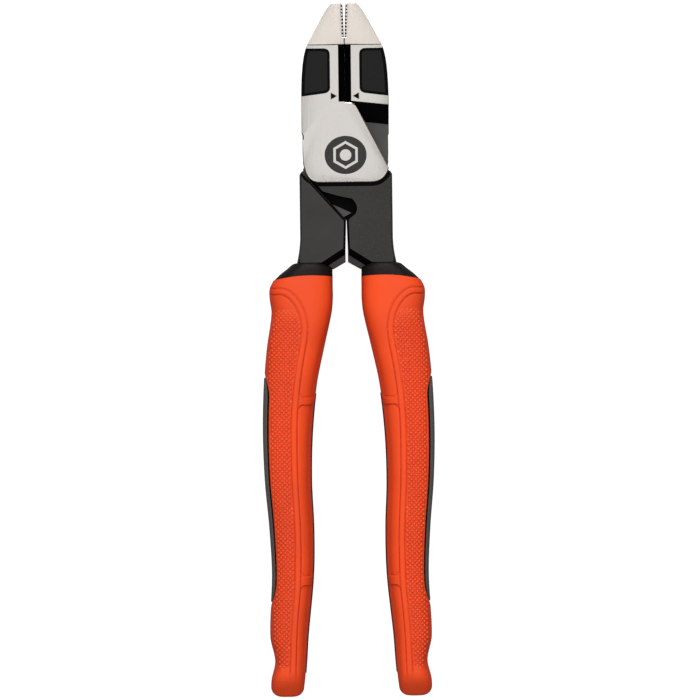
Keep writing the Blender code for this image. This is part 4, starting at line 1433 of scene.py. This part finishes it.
class PliersRivet(bpy.types.Operator):
    """Turn the pivot rivet with the nut outline on its faces"""
    bl_idname = "pliers.rivet"
    bl_label = "Pivot rivet"

    def execute(self, context):
        dark, bright = material("etched_mark"), material("polished_face")
        shank, head = RIVET_RADIUS * 0.65, RIVET_RADIUS - 0.06 * MM
        level = FACE - MARK_DEPTH
        profile = [(-level, head - 0.04 * MM), (-level + 0.04 * MM, head), (-level + 0.5 * MM, head),
                   (-level + 2.0 * MM, shank)]
        profile += [(-z, r) for z, r in reversed(profile)]
        levels = [(z, ring_points(r, ROUND_SIDES)) for z, r in profile]
        rivet = stack("rivet", levels, [dark, bright])
        outer, inner = (ring_points(r, 6, math.pi / 6) for r in (NUT_RADIUS, NUT_HOLE))
        for sign in (-1, 1):
            low, high = sorted((sign * (level - 0.3 * MM), sign * (FACE - 0.01 * MM)))
            badge = stack("nut", [(low, outer), (high, outer)], [bright])
            combine(badge, stack("hole", [(low - MM, inner), (high + MM, inner)], [bright]))
            combine(rivet, badge, "UNION")
            dot = ring_points(DOT_RADIUS, 48)
            combine(rivet, stack("dot", [(low, dot), (high, dot)], [bright]), "UNION")
        rivet.name = rivet.data.name = "rivet_body"
        rivet.data.transform(Matrix.Translation(PIVOT))
        rivet.data.shade_smooth()
        rivet.data.set_sharp_from_angle(angle=math.radians(25))
        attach(rivet, FRONT_BODY)
        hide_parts("pivot_rivet")
        return {"FINISHED"}


class PliersCores(bpy.types.Operator):
    """Mould both hard cores with their guard collars"""
    bl_idname = "pliers.cores"
    bl_label = "Cores and collars"

    def execute(self, context):
        finish_pair(make_core(), ("right_core", "left_core"),
                    ("right_grip_core", "left_grip_core"), 40.0)
        return {"FINISHED"}


class PliersSleeves(bpy.types.Operator):
    """Mould both orange sleeves and set their diamonds"""
    bl_idname = "pliers.sleeves"
    bl_label = "Sleeves"

    def execute(self, context):
        grip = context.scene.pliers_grip
        sleeve = make_sleeve(grip)
        tree = build_diamonds()
        length = HANDLE_REACH - SLEEVE_TOP
        studs = []
        for side in (1.0, -1.0):
            studs.append(run_tree("studs", tree, {
                "Sleeve": sleeve, "Pitch": grip.diamond_pitch, "Height": grip.diamond_height,
                "Length": length, "Centre X": 24 * MM, "Centre Y": -SLEEVE_TOP - length / 2,
                "Side": side, "Material": material("orange_diamonds_highlit")}))
        finish_pair(join(studs), ("right_sleeve_diamonds", "left_sleeve_diamonds"), (None, None),
                    20.0)
        finish_pair(sleeve, ("right_sleeve", "left_sleeve"),
                    ("right_grip_sleeve", "left_grip_sleeve"), 50.0)
        return {"FINISHED"}


class PliersInlays(bpy.types.Operator):
    """Mould the soft inlays: outer inserts and inner strips"""
    bl_idname = "pliers.inlays"
    bl_label = "Soft inlays"

    def execute(self, context):
        grip = context.scene.pliers_grip
        outer = make_inlay(0, OUTER_CELLS, INSERT_SPAN, grip.insert_gap, 0.1 * MM,
                           material("soft_grey"))
        finish_pair(outer, ("right_insert", "left_insert"),
                    ("right_outer_insert", "left_outer_insert"), 50.0)
        inner = make_inlay(OUTER_CELLS + FRONT_CELLS, INNER_CELLS, STRIP_SPAN, 0.2 * MM,
                           0.25 * MM, material("soft_black"))
        finish_pair(inner, ("right_strip", "left_strip"),
                    ("right_inner_strip", "left_inner_strip"), 50.0)
        return {"FINISHED"}


class PliersStudio(bpy.types.Operator):
    """Set the pale floor, the soft light and the camera"""
    bl_idname = "pliers.studio"
    bl_label = "Studio"

    def execute(self, context):
        stage = context.scene.pliers_stage
        surface = bpy.data.materials.new("pale_floor")
        surface.use_nodes = True
        shader = surface.node_tree.nodes["Principled BSDF"]
        shader.inputs["Base Color"].default_value = (0.3, 0.3, 0.3, 1.0)
        shader.inputs["Roughness"].default_value = 0.9
        shader.inputs["Emission Color"].default_value = (1.0, 1.0, 1.0, 1.0)
        ray = node(surface.node_tree, "ShaderNodeLightPath")
        seen = math_node(surface.node_tree, "MULTIPLY", ray.outputs["Is Camera Ray"], 0.92)
        feed(surface.node_tree, shader.inputs["Emission Strength"], seen)
        half = 3.0
        corners = [(-half, -half, 0.0), (half, -half, 0.0), (half, half, 0.0), (-half, half, 0.0)]
        mesh = bpy.data.meshes.new("floor")
        mesh.from_pydata(corners, [], [(0, 1, 2, 3)])
        mesh.materials.append(surface)
        add_object("floor", mesh)

        world = bpy.data.worlds.new("studio")
        world.use_nodes = True
        background = world.node_tree.nodes["Background"]
        background.inputs["Color"].default_value = (1.0, 1.0, 1.0, 1.0)
        seen = math_node(world.node_tree, "MULTIPLY",
                         node(world.node_tree, "ShaderNodeLightPath").outputs["Is Camera Ray"], 0.78)
        feed(world.node_tree, background.inputs["Strength"],
             math_node(world.node_tree, "ADD", seen, 0.22))
        context.scene.world = world
        for name, place, size, power in (("top", (0.0, 0.1, 1.7), 1.7, 16.4),
                                         ("front", (0.0, 1.0, 0.75), 0.6, 9.0),
                                         ("left", (-1.3, 0.5, 1.2), 0.8, 1.5)):
            light = bpy.data.lights.new(name, "AREA")
            light.size = size
            light.energy = power
            lamp = add_object(name, light)
            lamp.location = place
            lamp.rotation_euler = (-Vector(place)).to_track_quat("-Z", "Y").to_euler()

        camera = add_object("camera", bpy.data.cameras.new("camera"))
        data = camera.data
        data.sensor_width = 36.0
        top = CAD_BOX[1][2]
        data.lens = data.sensor_width * (stage.camera_distance - top) / stage.frame_height
        camera.location = (0.76 * MM, 0.0, stage.camera_distance)
        camera.rotation_euler = (0.0, 0.0, -stage.roll)
        context.scene.camera = camera
        context.scene.view_settings.view_transform = "Standard"
        return {"FINISHED"}


OPERATORS = (PliersMaterials, PliersForgings, PliersTeeth, PliersRivet, PliersCores, PliersSleeves,
             PliersInlays, PliersStudio)


class PliersPanel(bpy.types.Panel):
    """Sidebar panel with each step of the build"""
    bl_idname = "VIEW3D_PT_pliers"
    bl_label = "Lineman pliers"
    bl_space_type = "VIEW_3D"
    bl_region_type = "UI"
    bl_category = "Pliers"

    def draw(self, context):
        for settings in (context.scene.pliers_head, context.scene.pliers_grip,
                         context.scene.pliers_finish, context.scene.pliers_stage):
            for key in settings.__annotations__:
                self.layout.prop(settings, key)
        for operator in OPERATORS:
            self.layout.operator(operator.bl_idname)


SETTINGS = (("pliers_head", PliersHead), ("pliers_grip", PliersGrip),
            ("pliers_finish", PliersFinish), ("pliers_stage", PliersStage))


def register():
    for name, settings in SETTINGS:
        bpy.utils.register_class(settings)
        setattr(bpy.types.Scene, name, PointerProperty(type=settings))
    for operator in OPERATORS:
        bpy.utils.register_class(operator)
    bpy.utils.register_class(PliersPanel)


def unregister():
    bpy.utils.unregister_class(PliersPanel)
    for operator in reversed(OPERATORS):
        bpy.utils.unregister_class(operator)
    for name, settings in reversed(SETTINGS):
        delattr(bpy.types.Scene, name)
        bpy.utils.unregister_class(settings)


def main():
    register()
    for step in (bpy.ops.pliers.materials, bpy.ops.pliers.forgings, bpy.ops.pliers.teeth,
                 bpy.ops.pliers.rivet, bpy.ops.pliers.cores, bpy.ops.pliers.sleeves,
                 bpy.ops.pliers.inlays, bpy.ops.pliers.studio):
        step()


if __name__ == "__main__":
    main()
